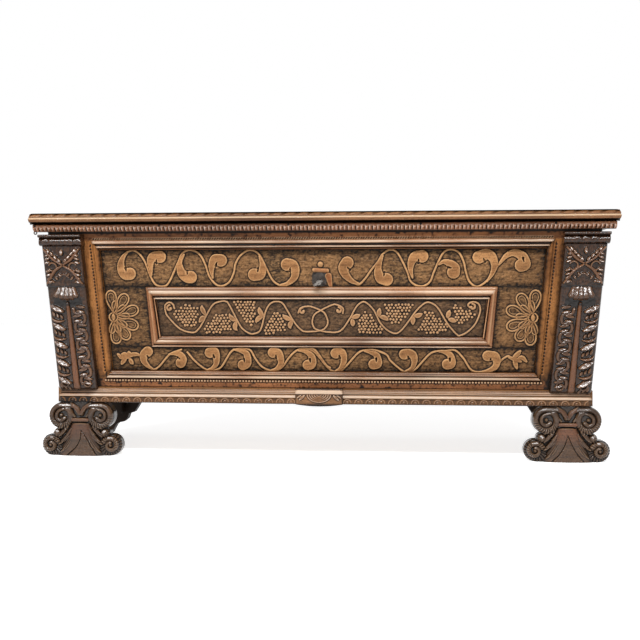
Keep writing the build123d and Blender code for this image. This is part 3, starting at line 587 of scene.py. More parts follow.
SHADOW_WOOD = wood("shadow_walnut", (34, 24, 17), (56, 40, 28), gloss=0.45)
POPLAR = wood("dry_poplar", (136, 104, 68), (176, 142, 98), gloss=0.7)
IRON = iron("dark_iron", (44, 40, 37), (80, 73, 68))
KEY_IRON = iron("key_iron", (72, 67, 63), (164, 158, 152), gloss=0.3)
NAIL_IRON = iron("nail_iron", (30, 26, 24), (54, 48, 44))

SLOT_MATERIALS = {
    "walnut_ground": PLAIN_WOOD,
    "walnut_plain": PLAIN_WOOD,
    "walnut_frame": RAIL_WOOD,
    "walnut_moulding": PLAIN_WOOD_DEEP,
    "walnut_dark": DARK_WOOD,
    "walnut_shadow": SHADOW_WOOD,
    "walnut_lid": PLAIN_WOOD_DEEP,
    "softwood_inside": POPLAR,
    "wrought_iron": IRON,
    "iron_nails": NAIL_IRON,
}

NODE_MATERIALS = {
    "key": KEY_IRON, "end_board_left": PLAIN_WOOD_DEEP, "end_board_right": PLAIN_WOOD_DEEP,
    "foot_brackets": SHADOW_WOOD,
}


def dress_nodes():
    """Gives each CAD node the material of its slot, or its own."""
    for row in frame["record"]["subparts"]:
        mesh = frame["nodes"][row["node"]].data
        mesh.materials.clear()
        mesh.materials.append(NODE_MATERIALS.get(row["node"], SLOT_MATERIALS[row["material_slot"]]))


# ------------------------------------------------------------------ carved field
GROUND_OUT = 1.2
RELIEF_HIGH = 4.6
FIELD_STEM = 3.7          # half the width of a stem
UPPER_HEAD = 17.0         # radius of a leaf's head
LOWER_HEAD = 14.5
LEAF_TOP = flat_top(RELIEF_HIGH, 1.5)
STEM_TOP = flat_top(RELIEF_HIGH * 0.85, 2.2)
ROSETTE_CENTRE = (545.0, 364.0)
ROSETTE_ANGLES = (96, 59, 19, -22, -56, -84)
# Rings of petals: near and far end, half width, rim, and turn in degrees.
ROSETTE_RINGS = ((16, 70, 15.5, 2.6, 0), (10, 43, 8.5, 2.2, -14))
UPPER_LEAVES = [
    [(-502, 536), (-514, 523), (-521, 506), (-520, 489), (-511, 477), (-498, 478)],
    [(-441, 473), (-442, 510), (-434, 522), (-417, 522)],
    [(-353, 528), (-364, 509), (-364, 492), (-358, 477), (-345, 469), (-336, 469)],
    [(-278, 467), (-281, 486), (-279, 502), (-271, 515), (-256, 512)],
    [(-155, 522), (-148, 505), (-147, 488), (-154, 475), (-169, 475)],
    [(-101, 448), (-82, 452), (-65, 467), (-62, 486), (-69, 499), (-83, 501)],
    [(105, 450), (85, 458), (68, 475), (63, 492), (73, 505)],
    [(164, 523), (155, 502), (152, 483), (158, 466), (174, 462)],
    [(240, 466), (235, 487), (237, 506), (246, 520), (264, 521)],
    [(307, 500), (320, 507), (337, 501), (346, 491), (344, 480)],
    [(429, 457), (442, 478), (447, 499), (441, 518), (427, 526), (408, 518)],
    [(458, 499), (475, 520), (495, 529), (516, 520), (523, 501), (514, 497)],
]
LOWER_LEAVES = [
    [(-441, 226), (-456, 236), (-466, 250), (-465, 265), (-455, 273)],
    [(-398, 266), (-383, 269), (-369, 266), (-362, 254), (-367, 244)],
    [(-297, 225), (-282, 231), (-272, 245), (-275, 272), (-289, 271)],
    [(-226, 280), (-209, 277), (-193, 270), (-189, 255), (-192, 243), (-202, 239)],
    [(-128, 225), (-113, 230), (-102, 244), (-103, 259), (-110, 271), (-122, 272)],
    [(-56, 278), (-39, 276), (-24, 267), (-19, 254), (-22, 242), (-31, 240)],
    [(41, 224), (54, 233), (62, 248), (62, 263), (55, 273), (42, 271)],
    [(117, 277), (132, 274), (147, 267), (151, 253), (149, 244), (140, 243)],
    [(222, 225), (239, 234), (245, 251), (242, 266), (230, 272), (219, 269)],
    [(304, 278), (321, 276), (336, 268), (340, 254), (338, 245), (329, 244)],
    [(410, 224), (431, 227), (450, 237), (455, 252), (450, 265), (432, 266)],
]
FIELD_STEMS = [
    [(-521, 506), (-513, 527), (-492, 539), (-473, 531), (-456, 506), (-443, 471), (-430, 450),
     (-410, 445), (-394, 456), (-370, 506), (-358, 530), (-342, 539), (-323, 536), (-308, 523),
     (-296, 498), (-287, 471), (-270, 450), (-253, 446), (-235, 456), (-223, 479), (-217, 505),
     (-203, 526), (-184, 538), (-165, 535), (-150, 518), (-125, 467), (-108, 450), (-89, 446), (-70, 457)],
    [(79, 462), (100, 449), (117, 462), (135, 487), (152, 508), (164, 527), (183, 538), (202, 529),
     (226, 483), (234, 459), (249, 447), (268, 445), (285, 457), (295, 483), (316, 527), (335, 538),
     (356, 531), (369, 508), (375, 482), (384, 457), (400, 444), (417, 449), (438, 470), (471, 520),
     (491, 534)],
    [(-466, 250), (-456, 234), (-441, 226), (-425, 234), (-396, 266), (-365, 279)],
    [(-349, 272), (-332, 252), (-313, 235), (-295, 225), (-274, 226), (-258, 235), (-234, 272),
     (-218, 281), (-201, 282), (-182, 278), (-168, 255), (-153, 236), (-134, 226), (-115, 225),
     (-97, 236), (-80, 259), (-64, 275), (-49, 282), (-30, 282), (-12, 279), (16, 241), (27, 233)],
    [(-25, 280), (-10, 271), (20, 235), (35, 224), (52, 224), (70, 239), (100, 272), (121, 280),
     (143, 280), (173, 268), (185, 251), (215, 226), (232, 224), (249, 232), (283, 269), (304, 278),
     (326, 279), (349, 280), (370, 260), (393, 228), (431, 226), (452, 237), (463, 252), (481, 265),
     (491, 263)],
]
TULIP = [
    [(486, 262), (500, 258), (516, 252)],
    [(496, 262), (506, 270), (514, 279)],
    [(506, 258), (518, 262), (530, 252)],
    [(498, 256), (502, 246), (506, 234)],
]
FLEUR = [
    [(-475, 263), (-487, 266), (-499, 264), (-512, 256)],
    [(-506, 256), (-516, 266), (-524, 266)],
    [(-500, 262), (-505, 268), (-506, 272)],
    [(-504, 254), (-500, 246), (-496, 241)],
    [(-514, 254), (-522, 246), (-526, 240)],
    [(-512, 257), (-526, 258), (-536, 266)],
]


def curled_leaf(carving, points, head):
    """Comma-shaped leaf with a small notch where the head turns in."""
    path = tapered(points, 3.2, head)
    carving.stroke(path, LEAF_TOP)
    tip, before = path[-1, :2], path[-6, :2]
    ahead = (tip - before) / np.linalg.norm(tip - before)
    middle = path[len(path) // 2, :2]
    side = np.array([-ahead[1], ahead[0]])
    if np.dot(middle - tip, side) < 0:
        side = -side
    notch = tip + side * head - ahead * head * 0.5
    hollow = tapered([notch, notch - side * head * 0.5], 3.6, 1.8)
    carving.stroke(hollow, round_top(1.2 * RELIEF_HIGH), cut=True)


def petal(carving, centre, along, near, far, wide, rim):
    """Drop-shaped petal with a raised rim and a thin line inside it."""
    across = np.array([-along[1], along[0]])
    for shrink, radius, rise in ((1.0, rim, 3.0), (0.55, rim * 0.6, 1.6)):
        points = []
        for turn in np.linspace(0, 2 * math.pi, 15):
            swell = 0.5 - 0.5 * math.cos(turn)
            reach = near + (far - near) * (1 - (1 - swell) * shrink - (1 - shrink) * 0.28)
            swing = across * wide * shrink * math.sin(turn) * swell ** 0.5 * 1.15
            points.append(centre + along * reach + swing)
        carving.stroke(tapered(points, radius), round_top(rise))


def rosette(carving, side):
    """Half flower of hollow petals round a boss, cut off by the stile."""
    centre = np.array([side * ROSETTE_CENTRE[0], ROSETTE_CENTRE[1]])
    for near, far, wide, rim, shift in ROSETTE_RINGS:
        for angle in ROSETTE_ANGLES:
            turn = math.radians(angle + shift)
            along = np.array([-side * math.cos(turn), math.sin(turn)])
            petal(carving, centre, along, near, far, wide, rim)
    carving.stroke(tapered(arc(centre, 11.5), 2.4), round_top(3.2))
    carving.stroke(bulged([centre + (0, -8), centre + (0, 8)], 2.0, 6.0), round_top(5.0))


def lock_ornament(carving):
    """Ball and bar over the key plate, and the wedge beside it. Returns how reddish they are."""
    carving.stroke([(3.5, 501, 7.6)], round_top(7))
    before = carving.raised.copy()
    carving.stroke(tapered([(-13, 487), (4, 486), (21, 485)], 5.6), round_top(5.0))
    wedge = tapered([(24, 471), (27, 458), (29.5, 445), (30, 436)], 9.5, 4.0)
    carving.stroke(wedge, flat_top(3.0, 2.0))
    return 0.8 * clamped(carving.raised - before)


def beside(carving, reach=9.0):
    """Darkening along the edges of a carved area, from 0 to 1: dirt and painted shade where it meets its
    frame.
    """
    left, right = carving.x[:, :1], carving.x[:, -1:]
    low, high = carving.height[0, 0], carving.height[-1, 0]
    aside = np.minimum(carving.x - left, right - carving.x)
    above = np.minimum(carving.height - low, high - carving.height)
    return np.exp(-np.clip(np.minimum(aside, above), 0, None) / reach)


def carved_field():
    """Scrolls over and under the inner frame and flowers beside it, on a pricked ground."""
    areas = {
        "carved_field_top": (mirrored(field_x), field_x, INNER_HIGH, FIELD_HIGH),
        "carved_field_low": (mirrored(field_x), field_x, FIELD_LOW, INNER_LOW),
        "carved_field_left": (mirrored(field_x), mirrored(inner_x), INNER_LOW, INNER_HIGH),
        "carved_field_right": (inner_x, field_x, INNER_LOW, INNER_HIGH),
    }
    for number, (name, area) in enumerate(areas.items()):
        carving = Carving(*face_grid(*area))
        for stem in FIELD_STEMS:
            carving.stroke(tapered(stem, FIELD_STEM), STEM_TOP)
        for leaves, head in ((UPPER_LEAVES, UPPER_HEAD), (LOWER_LEAVES, LOWER_HEAD)):
            for points in leaves:
                curled_leaf(carving, points, head)
        for points in TULIP + FLEUR:
            carving.stroke(bulged(points, 3.5, 6.5), LEAF_TOP)
        for side in SIDES:
            rosette(carving, side)
        warm = lock_ornament(carving)
        shape = carving.x.shape
        bare = 1 - clamped(carving.raised / 2)
        pricks = roughness(shape, 10 + number)
        chips = roughness(shape, 20 + number, 4)
        hand = roughness(shape, 30 + number, 14)
        streaks = dashes(shape, 24 + number)
        out = GROUND_OUT + carving.relief() + bare * (0.3 * pricks + 0.3 * chips + 0.3 * streaks)
        out = np.maximum(out + (1 - bare) * pricks * 0.14 + hand * 0.15, 0.3)
        # Darker along the frame, dirt and painted shade, and in low chips and streaks of the ground, real
        # marks.
        grime_and_painted_light = 0.6 * beside(carving) * bare + 0.16 * bare * np.clip(-chips, 0, 2)
        grime_and_painted_light = grime_and_painted_light + 0.12 * np.clip(-streaks, 0, 2)
        part = slab(carving.x, carving.height, out, 0)
        layers = carving.layers(RELIEF_HIGH, warm, grime_and_painted_light)
        add_piece(name, [part], FIELD_WOOD, layers=layers)


# ------------------------------------------------------------------ vine panel
VINE_GROUND_OUT = 2.0
VINE_HIGH = 4.5
VINE_STEM = 2.6           # half the width of a stem
VINE_STEMS = [
    [(-381, 387), (-384, 397), (-394, 403), (-405, 396), (-405, 380), (-398, 365), (-366, 333),
     (-333, 324), (-318, 333), (-306, 351), (-288, 384), (-276, 399), (-261, 405), (-246, 406),
     (-236, 397), (-211, 348), (-200, 333), (-185, 323), (-174, 321), (-159, 326), (-151, 339),
     (-141, 377), (-132, 395), (-120, 404), (-105, 405), (-94, 399), (-84, 383), (-65, 351), (-48, 332),
     (-33, 327), (2, 330), (16, 338), (22, 351), (18, 367), (8, 380), (-21, 392), (-38, 392), (-50, 387),
     (-55, 376)],
    [(61, 375), (61, 388), (46, 397), (32, 396), (3, 382), (-12, 372), (-18, 358), (-17, 344), (-8, 333),
     (25, 326), (55, 330), (80, 363), (91, 384), (103, 399), (118, 404), (140, 384), (159, 348),
     (185, 326), (209, 329), (247, 378), (262, 394), (276, 403), (291, 400), (306, 387), (329, 349),
     (353, 321), (363, 319), (379, 327), (396, 343), (406, 361), (412, 381), (410, 396), (402, 403),
     (390, 404), (381, 397), (386, 390)],
]
VINE_LEAVES = [
    [(-298, 368), (-307, 386), (-308, 395)],
    [(-298, 366), (-307, 362), (-316, 351)],
    [(-216, 356), (-225, 359), (-232, 365), (-236, 373)],
    [(-216, 355), (-220, 346), (-221, 336), (-215, 330)],
    [(-144, 369), (-151, 373), (-156, 382), (-157, 390)],
    [(-145, 367), (-157, 363), (-164, 355), (-165, 350)],
    [(-69, 359), (-79, 360), (-91, 366), (-95, 371)],
    [(-68, 358), (-77, 344), (-75, 335)],
    [(83, 363), (101, 369), (104, 372)],
    [(84, 360), (86, 353), (87, 342)],
    [(154, 367), (154, 375), (156, 388)],
    [(155, 366), (165, 365), (175, 360), (177, 357)],
    [(243, 370), (253, 369), (265, 374)],
    [(242, 368), (241, 360), (241, 346)],
    [(329, 363), (331, 371), (335, 383)],
    [(331, 361), (347, 356), (350, 354)],
]
GRAPES = [
    [(-354, 397), (-319, 392), (-322, 340), (-354, 339), (-389, 373)],
    [(-267, 374), (-243, 377), (-227, 327), (-303, 321), (-305, 336)],
    [(-230, 408), (-168, 406), (-166, 368), (-179, 341), (-200, 354)],
    [(-120, 379), (-103, 380), (-84, 328), (-147, 319), (-143, 336)],
    [(116, 379), (125, 379), (166, 331), (162, 322), (100, 324), (97, 342)],
    [(162, 403), (243, 402), (238, 381), (206, 348), (185, 351)],
    [(276, 383), (288, 383), (331, 343), (325, 328), (279, 321), (252, 334)],
    [(341, 397), (360, 394), (377, 384), (402, 372), (384, 355), (354, 347)],
]
GRAPE_PITCH = 8.6
GRAPE_ROWS = 0.86         # distance of the rows, in pitches
GRAPE_RADIUS = 3.9
# The curls at the stems' ends: centre and turn in degrees.
VINE_CURLS = (((-394, 388), 250), ((392, 392), -250), ((-44, 381), 250), ((50, 383), -250))


def inside(point, outline):
    """Whether a point lies in a polygon."""
    hit = False
    x, level = point
    for (x0, low), (x1, high) in zip(outline, outline[1:] + outline[:1]):
        if (low > level) != (high > level) and x < x0 + (level - low) * (x1 - x0) / (high - low):
            hit = not hit
    return hit


def grapes(carving, outline, draw):
    """Berries packed in rows inside an outline."""
    xs, heights = zip(*outline)
    row = 0
    level = min(heights) + GRAPE_RADIUS
    while level < max(heights):
        x = min(xs) + (row % 2) * GRAPE_PITCH / 2
        while x < max(xs):
            if inside((x, level), outline):
                shift = draw.uniform(-1.2, 1.2, 2)
                size = GRAPE_RADIUS * draw.uniform(0.84, 1.08)
                carving.stroke([(x + shift[0], level + shift[1], size)], round_top(4.2))
            x += GRAPE_PITCH
        level += GRAPE_PITCH * GRAPE_ROWS
        row += 1


def vine_panel():
    """Wavy stem with leaves, curls and grapes inside the inner frame."""
    def edge(level):
        return inner_x(level) - INNER_FRAME_SIDE

    low, high = INNER_LOW + INNER_FRAME_BOTTOM, INNER_HIGH - INNER_FRAME_TOP
    carving = Carving(*face_grid(mirrored(edge), edge, low, high))
    draw = np.random.default_rng(4)
    for outline in GRAPES:
        grapes(carving, outline, draw)
    for stem in VINE_STEMS:
        carving.stroke(tapered(stem, VINE_STEM), round_top(VINE_HIGH))
    for points in VINE_LEAVES:
        carving.stroke(bulged(points, 2.4, 7.6), flat_top(VINE_HIGH, 2.6))
    for point, turn in VINE_CURLS:
        carving.stroke(tapered(arc(point, 8, 90, turn, 3), 3.2, 4.4), round_top(VINE_HIGH))
    bare = 1 - clamped(carving.raised / 2)
    pricks = roughness(carving.x.shape, 31)
    chips = roughness(carving.x.shape, 33, 4)
    out = VINE_GROUND_OUT + carving.relief() + bare * (pricks * 0.3 + chips * 0.3)
    out = out + roughness(carving.x.shape, 32, 12) * 0.15
    # Darker along the frame, dirt and painted shade, and in low chips, real marks.
    grime_and_painted_light = 0.6 * beside(carving, 6) * bare + 0.16 * bare * np.clip(-chips, 0, 2)
    part = slab(carving.x, carving.height, out, 0)
    layers = carving.layers(VINE_HIGH, dirt_and_painted_light=grime_and_painted_light)
    add_piece("carved_vine", [part], VINE_WOOD, ["vine_panel"], layers)


# ------------------------------------------------------------------ mouldings on the front
# Sections from the upper edge down: (distance, out, dirt and painted light), where above zero darkens
# coves with dirt and painted shade, and below zero lightens ridges as rubbed edges with painted
# highlights.
FRAME_MOULDING_TOP = [
    (0, 1.0, 0.3), (0.6, 3.4, 0), (1.6, 4.2, -0.2), (6.4, 6.8, -0.7), (8.4, 6.4, 0), (9.6, 4.6, 0.3),
    (10.2, 0.6, 1), (14.2, 0.0, 1), (14.7, 2.4, 0), (15.3, 3.2, -0.2), (18.3, 4.7, -0.6), (19.4, 3.8, 0),
    (20.2, 1.6, 0.5), (20.8, -3.0, 1), (25, -5.0, 0.9),
]
FRAME_MOULDING_LOW = [
    (0, -1.5, 0.5), (0.4, 2.0, 0), (2.4, 3.0, -0.6), (3.0, 2.0, 0.7), (3.6, 2.6, 0.2), (5.0, 3.6, 0),
    (8.2, 5.0, -0.5), (9.0, 3.0, 0.4), (9.4, 0.2, 1), (10.8, 0.2, 1), (11.4, 3.6, 0), (12.2, 4.6, -0.4),
    (16.2, 6.8, -0.9), (17.6, 6.0, 0), (18.8, 3.2, 0.4), (19.4, 0.8, 0.8), (21, 0.6, 0.3),
]
INNER_MOULDING_TOP = [
    (0, 2.5, 0.6), (1.0, 6.4, 0.1), (2.0, 7.4, -0.1), (6.0, 9.2, -0.3), (7.5, 9.4, 0), (8.2, 9.0, 0.1),
    (9.0, 9.8, 0), (9.6, 10.4, -0.4), (13.5, 12.6, -0.8), (18.0, 14.0, -0.2), (22.5, 12.8, 0.1),
    (24.2, 9.0, 0.3), (24.9, 5.0, 1), (27.4, 5.0, 1), (28.0, 7.4, 0), (28.6, 8.0, -0.4), (31.4, 9.4, -1),
    (32.4, 6.0, 0.5), (32.8, 1.0, 1), (34.5, 0.5, 1),
]
INNER_MOULDING_LOW = [
    (0, 2.0, 0.6), (0.8, 5.0, 0.2), (3.0, 6.0, 0), (4.6, 6.8, -0.1), (7.0, 8.2, -0.5), (7.8, 7.4, 0.4),
    (8.6, 8.0, 0.2), (9.4, 9.6, 0), (10.2, 10.6, -0.4), (13.5, 12.4, -0.9), (16.0, 12.8, -0.2),
    (19.5, 11.6, 0), (21.4, 9.0, 0.3), (22.0, 5.0, 1), (24.0, 5.0, 1), (24.6, 7.4, 0), (25.2, 8.0, -0.3),
    (27.6, 9.2, -0.6), (28.4, 6.0, 0.3), (29, 2.5, 0.8),
]
FRAME_TOP_END = FIELD_HIGH + FRAME_MOULDING_TOP[-1][0]
FRAME_LOW_END = FIELD_LOW - MOULDING_HIGH


def front_member(first, second, section, face, base, spacing=6.0, seed=0, carve=None):
    """Moulding on the front between two edges, each a pair of (x, height) ends.

    carve gives a change of out at each (x, height). Returns the part and its cavity attribute.
    """
    first, second = np.array(first, float), np.array(second, float)
    distance, proud, grime_and_painted_light = np.array(section, float).T
    length = np.linalg.norm(first[1] - first[0])
    stations = np.linspace(0, 1, max(2, round(length / spacing)))[:, None]
    run = stations * length
    share = np.concatenate([[0.0], distance / distance[-1], [1.0]])[:, None]
    out = np.concatenate([[base], face + proud, [base]])
    dirt_and_painted_light = np.concatenate([[0.0], grime_and_painted_light, [0.0]])
    start, end = first[0] + (second[0] - first[0]) * share, first[1] + (second[1] - first[1]) * share
    grid = start + (end - start) * stations[:, :, None]
    x, height = grid[:, :, 0], grid[:, :, 1]
    wave = np.sin(run / 47 + seed) * 0.2 + np.sin(run / 19 + 2 * seed) * 0.12
    if carve:
        wave = wave + carve(x, height)
    worn = np.sin(run / 61 + 3 * seed) * 0.3 + np.sin(run / 23 + seed) * 0.2
    cavity = dirt_and_painted_light * np.where(dirt_and_painted_light < 0, 1 + worn, 1)
    return tube(on_front(x, height, out + wave * (out > base))), cavity


def mitre_x(level):
    """Where the frame's mouldings stop against the stile."""
    above = (level - FIELD_HIGH) / FRAME_MOULDING_TOP[-1][0]
    below = (FIELD_LOW - level) / FRAME_MOULDING_LOW[-1][0]
    return field_x(level) + STILE_MOULDING * clamped(np.maximum(above, below))


def frame_mouldings():
    """Mouldings under the top rail and on the bottom rail, mitred against the stiles."""
    for name, low, section, seed in (
        ("top_moulding", FIELD_HIGH, FRAME_MOULDING_TOP, 1),
        ("bottom_moulding", FRAME_LOW_END, FRAME_MOULDING_LOW, 2),
    ):
        levels = (low + section[-1][0], low)
        edges = [[(-mitre_x(level), level), (mitre_x(level), level)] for level in levels]
        part, cavity = front_member(*edges, section, FRAME_OUT, 0, seed=seed)
        add_piece(name + "_run", [part], MOULDING_WOOD, [name], {"cavity": cavity})


def left_of(corner):
    """The same corner on the left half of the front."""
    return -corner[0], corner[1]


def inner_frame():
    """Four mitred members round the vine panel."""
    # The outer and the inner corner of the right half, at the top and at the bottom.
    top = [(inner_x(INNER_HIGH), INNER_HIGH)]
    top.append((top[0][0] - INNER_FRAME_SIDE, INNER_HIGH - INNER_FRAME_TOP))
    low = [(inner_x(INNER_LOW), INNER_LOW)]
    low.append((low[0][0] - INNER_FRAME_SIDE, INNER_LOW + INNER_FRAME_BOTTOM))
    members = {
        "top": [(left_of(corner), corner) for corner in top],
        "bottom": [(left_of(corner), corner) for corner in reversed(low)],
        "right": list(zip(top, low)),
        "left": [(left_of(below), left_of(above)) for above, below in zip(top, low)],
    }
    for seed, (side, edges) in enumerate(members.items()):
        section = INNER_MOULDING_LOW if side == "bottom" else INNER_MOULDING_TOP
        part, cavity = front_member(*edges, section, 0, 0, seed=seed)
        material = MOULDING_WOOD if side in ("top", "bottom") else SIDE_MOULDING_WOOD
        add_piece(
            "inner_moulding_" + side, [part], material, ["inner_frame_" + side],
            {"cavity": cavity},
        )


BACKING_HIGH = 20.0
BACKING_OUT = FRAME_OUT - 4.0
RAIL_PRICKS = np.arange(-590, 590, 6.3)
RAIL_BEADS = np.arange(-566, 567, 7.8)
BEAD_LEVEL = 199.0
STILE_PRICKS = np.arange(226, 556, 8.6)
PAINTED_SHADE_UNDER_LID = 582.0       # the top rail is painted dark above this height: painted shade under the lid's lip
DIRT_ON_PLINTH = 184.0       # the bottom rail is dark below this height
RAIL_DARKER_FROM = 570.0       # and beyond this distance from the middle


def near_pilaster(level):
    return pilaster_in(level) + 3


def plain_bar(half, low):
    """Plain backing behind a moulding."""
    x = np.array([[-half, half], [-half, half]])
    height = np.array([[low, low], [low + BACKING_HIGH, low + BACKING_HIGH]])
    return slab(x, height, np.full(x.shape, BACKING_OUT), 0)


def rails():
    """Top and bottom rail, with a pricked row and a row of beads."""
    edges = (mirrored(near_pilaster), near_pilaster)
    top = Carving(*face_grid(*edges, FRAME_TOP_END, RIM - LID_GAP, LONG_PITCH))
    for x in RAIL_PRICKS:
        prick = [(x - 1.2, FRAME_TOP_END + 1.8), (x + 1.2, FRAME_TOP_END + 4.2)]
        top.stroke(tapered(prick, 1.3, 1.8), round_top(2.6), cut=True)
    low = Carving(*face_grid(*edges, PLINTH_TOP + 1.5, FRAME_LOW_END, 1.2))
    for x in RAIL_BEADS:
        low.stroke([(x, BEAD_LEVEL, 2.9)], round_top(4.0))
    for carving, name in ((top, "top"), (low, "bottom")):
        level = carving.height[:, 0]
        out = FRAME_OUT + carving.relief() + roughness(carving.x.shape, 40, 10) * 0.12
        stains = 0.3 * np.clip(roughness(carving.x.shape, 41, 8), 0, 2)
        if name == "top":
            # Painted shade under the lid's lip: the rail's upper strip darkened.
            dirt_and_painted_light = clamped((carving.height - PAINTED_SHADE_UNDER_LID) / 2) + stains
            backing = plain_bar(field_x(FIELD_HIGH), FIELD_HIGH)
        else:
            # Darker towards both ends, by the pilasters.
            corner = clamped((abs(carving.x) - RAIL_DARKER_FROM) / 14)
            dirt_and_painted_light = clamped((DIRT_ON_PLINTH - carving.height) / 3) + stains + 0.7 * corner
            # Bead tops lighter, away from the ends: rubbed wear and painted highlights.
            dirt_and_painted_light = dirt_and_painted_light - 0.6 * clamped(carving.raised / 4) * (1 - corner)
            backing = plain_bar(field_x(FIELD_LOW), FIELD_LOW - BACKING_HIGH)
        carving.x[:, 0], carving.x[:, -1] = -end_x(level), end_x(level)
        add_piece(
            name + "_rail_board", [slab(carving.x, carving.height, out, 0), backing], RAIL_WOOD,
            ["frame_" + name + "_rail"], carving.layers(3.0, dirt_and_painted_light=dirt_and_painted_light),
        )


def stile(side):
    """Upright of the frame: hollow and ridge beside the carved field, and a row of pricks."""
    edges = (mitre_x, near_pilaster)
    if side < 0:
        edges = (mirrored(near_pilaster), mirrored(mitre_x))
    carving = Carving(*face_grid(*edges, FRAME_LOW_END, FRAME_TOP_END, LONG_PITCH))
    for level in STILE_PRICKS:
        x = side * (field_x(level) + 17.5 + 4 * (level - FIELD_LOW) / (FIELD_HIGH - FIELD_LOW))
        carving.stroke(tapered([(x, level + 2.6), (x, level - 2.0)], 0.8, 2.8), round_top(3.2), cut=True)
    across = abs(carving.x) - field_x(carving.height)
    hollow = 5.5 * clamped(1 - across / 8) ** 1.4
    ridge = 2.2 * hump(across - 10.5, 2.2)
    out = FRAME_OUT + carving.relief() - hollow + ridge + roughness(carving.x.shape, 50, 10) * 0.14
    low_end = clamped((250 - carving.height) / 40)
    stains = 0.1 * np.clip(roughness(carving.x.shape, 51 + side, 12), 0, 2)
    # Hollow beside the field darkened: dirt and painted shade. Also darker beside the pilaster, towards
    # the foot, in a line past the ridge, and a little on the right stile.
    dirt_and_painted_light = 0.55 * clamped(1 - across / 7.5) + 0.3 * clamped((across - 31) / 6)
    dirt_and_painted_light = dirt_and_painted_light + 0.4 * low_end + stains
    dirt_and_painted_light = dirt_and_painted_light + 0.35 * hump(across - 14.5, 1.3) + 0.06 * side
    column = -1 if side > 0 else 0
    carving.x[:, column] = side * end_x(carving.height[:, 0])
    part = slab(carving.x, carving.height, out, 0)
    add_piece(
        "stile_board_" + SIDES[side], [part], STILE_WOOD,
        ["frame_stile_" + SIDES[side]], carving.layers(3.0, dirt_and_painted_light=dirt_and_painted_light),
    )


# ------------------------------------------------------------------ pilasters
SHAFT_OUT = 20.0
BLOCK_OUT = 25.0
CLAW_OUT = 22.0
FACE_LIMIT = 38.0            # nothing on a pilaster stands out farther
RIB_HALF = (9.5, 5.0)        # at the shaft's foot and at its top
LEAF_PITCH = 47.0
# Places of the lobes over and under a block's middle: (distance from it, rise or fall).
UPPER_FAN = ((38, 45), (29, 37), (20, 28), (11, 20))
LOWER_FAN = ((34, 34), (24, 26), (14, 18))


def side_places(side):
    """Turns (distance towards the chest's end, height) into grid points."""
    return lambda across, level: (side * across, level)


def leaf_slope(level):
    """Slope of the leaves' tops, steeper lower down."""
    return 0.70 - 0.00042 * level


def outer_leaves(carving, at, top):
    """Slanting blades, each with fingers and a curl under it. Returns how reddish the curls are."""
    curls = np.zeros(carving.x.shape)
    for repeat in range(6):
        level = top - repeat * LEAF_PITCH
        if level - 24 < PILASTER_LOW:
            break
        blade = [at(45, level + 2), at(31, level - 5), at(15, level - 12)]
        carving.stroke(bulged(blade, 4.4, 8.0), flat_top(9.0, 2.4), tilt=leaf_slope(level))
        for finger in range(3):
            start = at(42 - 10 * finger, level - 14 - 4 * finger)
            end = at(38 - 10 * finger, level - 24 - 3 * finger)
            carving.stroke(bulged([start, end], 3.0, 4.4), flat_top(6.5, 2.2), tilt=0.3)
        before = carving.raised.copy()
        curl = [at(47, level - 29), at(40, level - 36), at(28, level - 39), at(15, level - 37)]
        carving.stroke(bulged(curl, 2.4, 4.4), flat_top(6.5, 2.4), tilt=0.4)
        curls = np.maximum(curls, clamped(carving.raised - before))
    return curls


def inner_leaves(carving, at, top):
    """Winding stem with two lobes in each of its bends."""
    turns = (top - PILASTER_LOW - 20) / LEAF_PITCH
    points = []
    for turn in np.arange(0, 2 * math.pi * turns, math.pi / 6):
        across = -28 + 14 * math.cos(turn)
        points.append(at(across, top - LEAF_PITCH * turn / (2 * math.pi) - 5.0 * math.sin(2 * turn)))
    carving.stroke(tapered(points, 4.4), round_top(7.5), facet=leaf_slope(top - 60))
    for bend in range(int(2 * turns) + 1):
        level = top - LEAF_PITCH * bend / 2
        hand = 1 if bend % 2 == 0 else -1
        for rise, reach, share in ((-8, 13, 1), (4, 15, 0.5)):
            lobe = [at(-28 + hand * 4, level + rise + 3), at(-28 - hand * reach, level + rise)]
            carving.stroke(bulged(lobe, 3.0, 5.0), flat_top(8.0, 2.2), tilt=leaf_slope(level) * share)


def block_leaves(carving, ribs, centre):
    """Two crossing ribs, a hollow eye on each side, and lobes fanned between them."""
    leaf = flat_top(8.5, 2.2)
    slope = leaf_slope(centre)
    for side in SIDES:
        for rise in (-1, 1):
            rib = [(46, rise * 44), (24, rise * 16 + 3), (3, rise * 2 + 3)]
            rib = [(side * across, centre + above) for across, above in rib]
            ribs.stroke(bulged(rib, 3.0, 4.4), round_top(9.0))
        eye = arc((side * 27, centre - 1), 10.5, 90 - 60 * side, side * 300)
        carving.stroke(tapered(eye, 3.0, 2.4), round_top(7.5), tilt=0.5)
        for number in range(4):
            for rise in (-1, 1):
                across, level = side * (44 - number), centre + rise * (11 + 9.5 * number) - 2
                lobe = [(across - side * 9, level + 3), (across, level)]
                carving.stroke(bulged(lobe, 3.4, 4.9), leaf, tilt=slope)
        for across, rise in UPPER_FAN:
            lobe = [(side * across, centre + rise), (side * (across - 5), centre + rise - 8)]
            carving.stroke(bulged(lobe, 3.0, 5.0), leaf, tilt=slope)
        for across, fall in LOWER_FAN:
            lobe = [(side * across, centre - fall), (side * (across - 6), centre - fall - 8)]
            carving.stroke(bulged(lobe, 2.4, 4.0), flat_top(5, 2), tilt=0.4)
    carving.stroke(bulged([(0, centre + 44), (0, centre + 30)], 3.0, 5.6), leaf, tilt=slope)
    carving.stroke(tapered(arc((0, centre - 34), 13, 25, 130), 3.0), round_top(4.0))


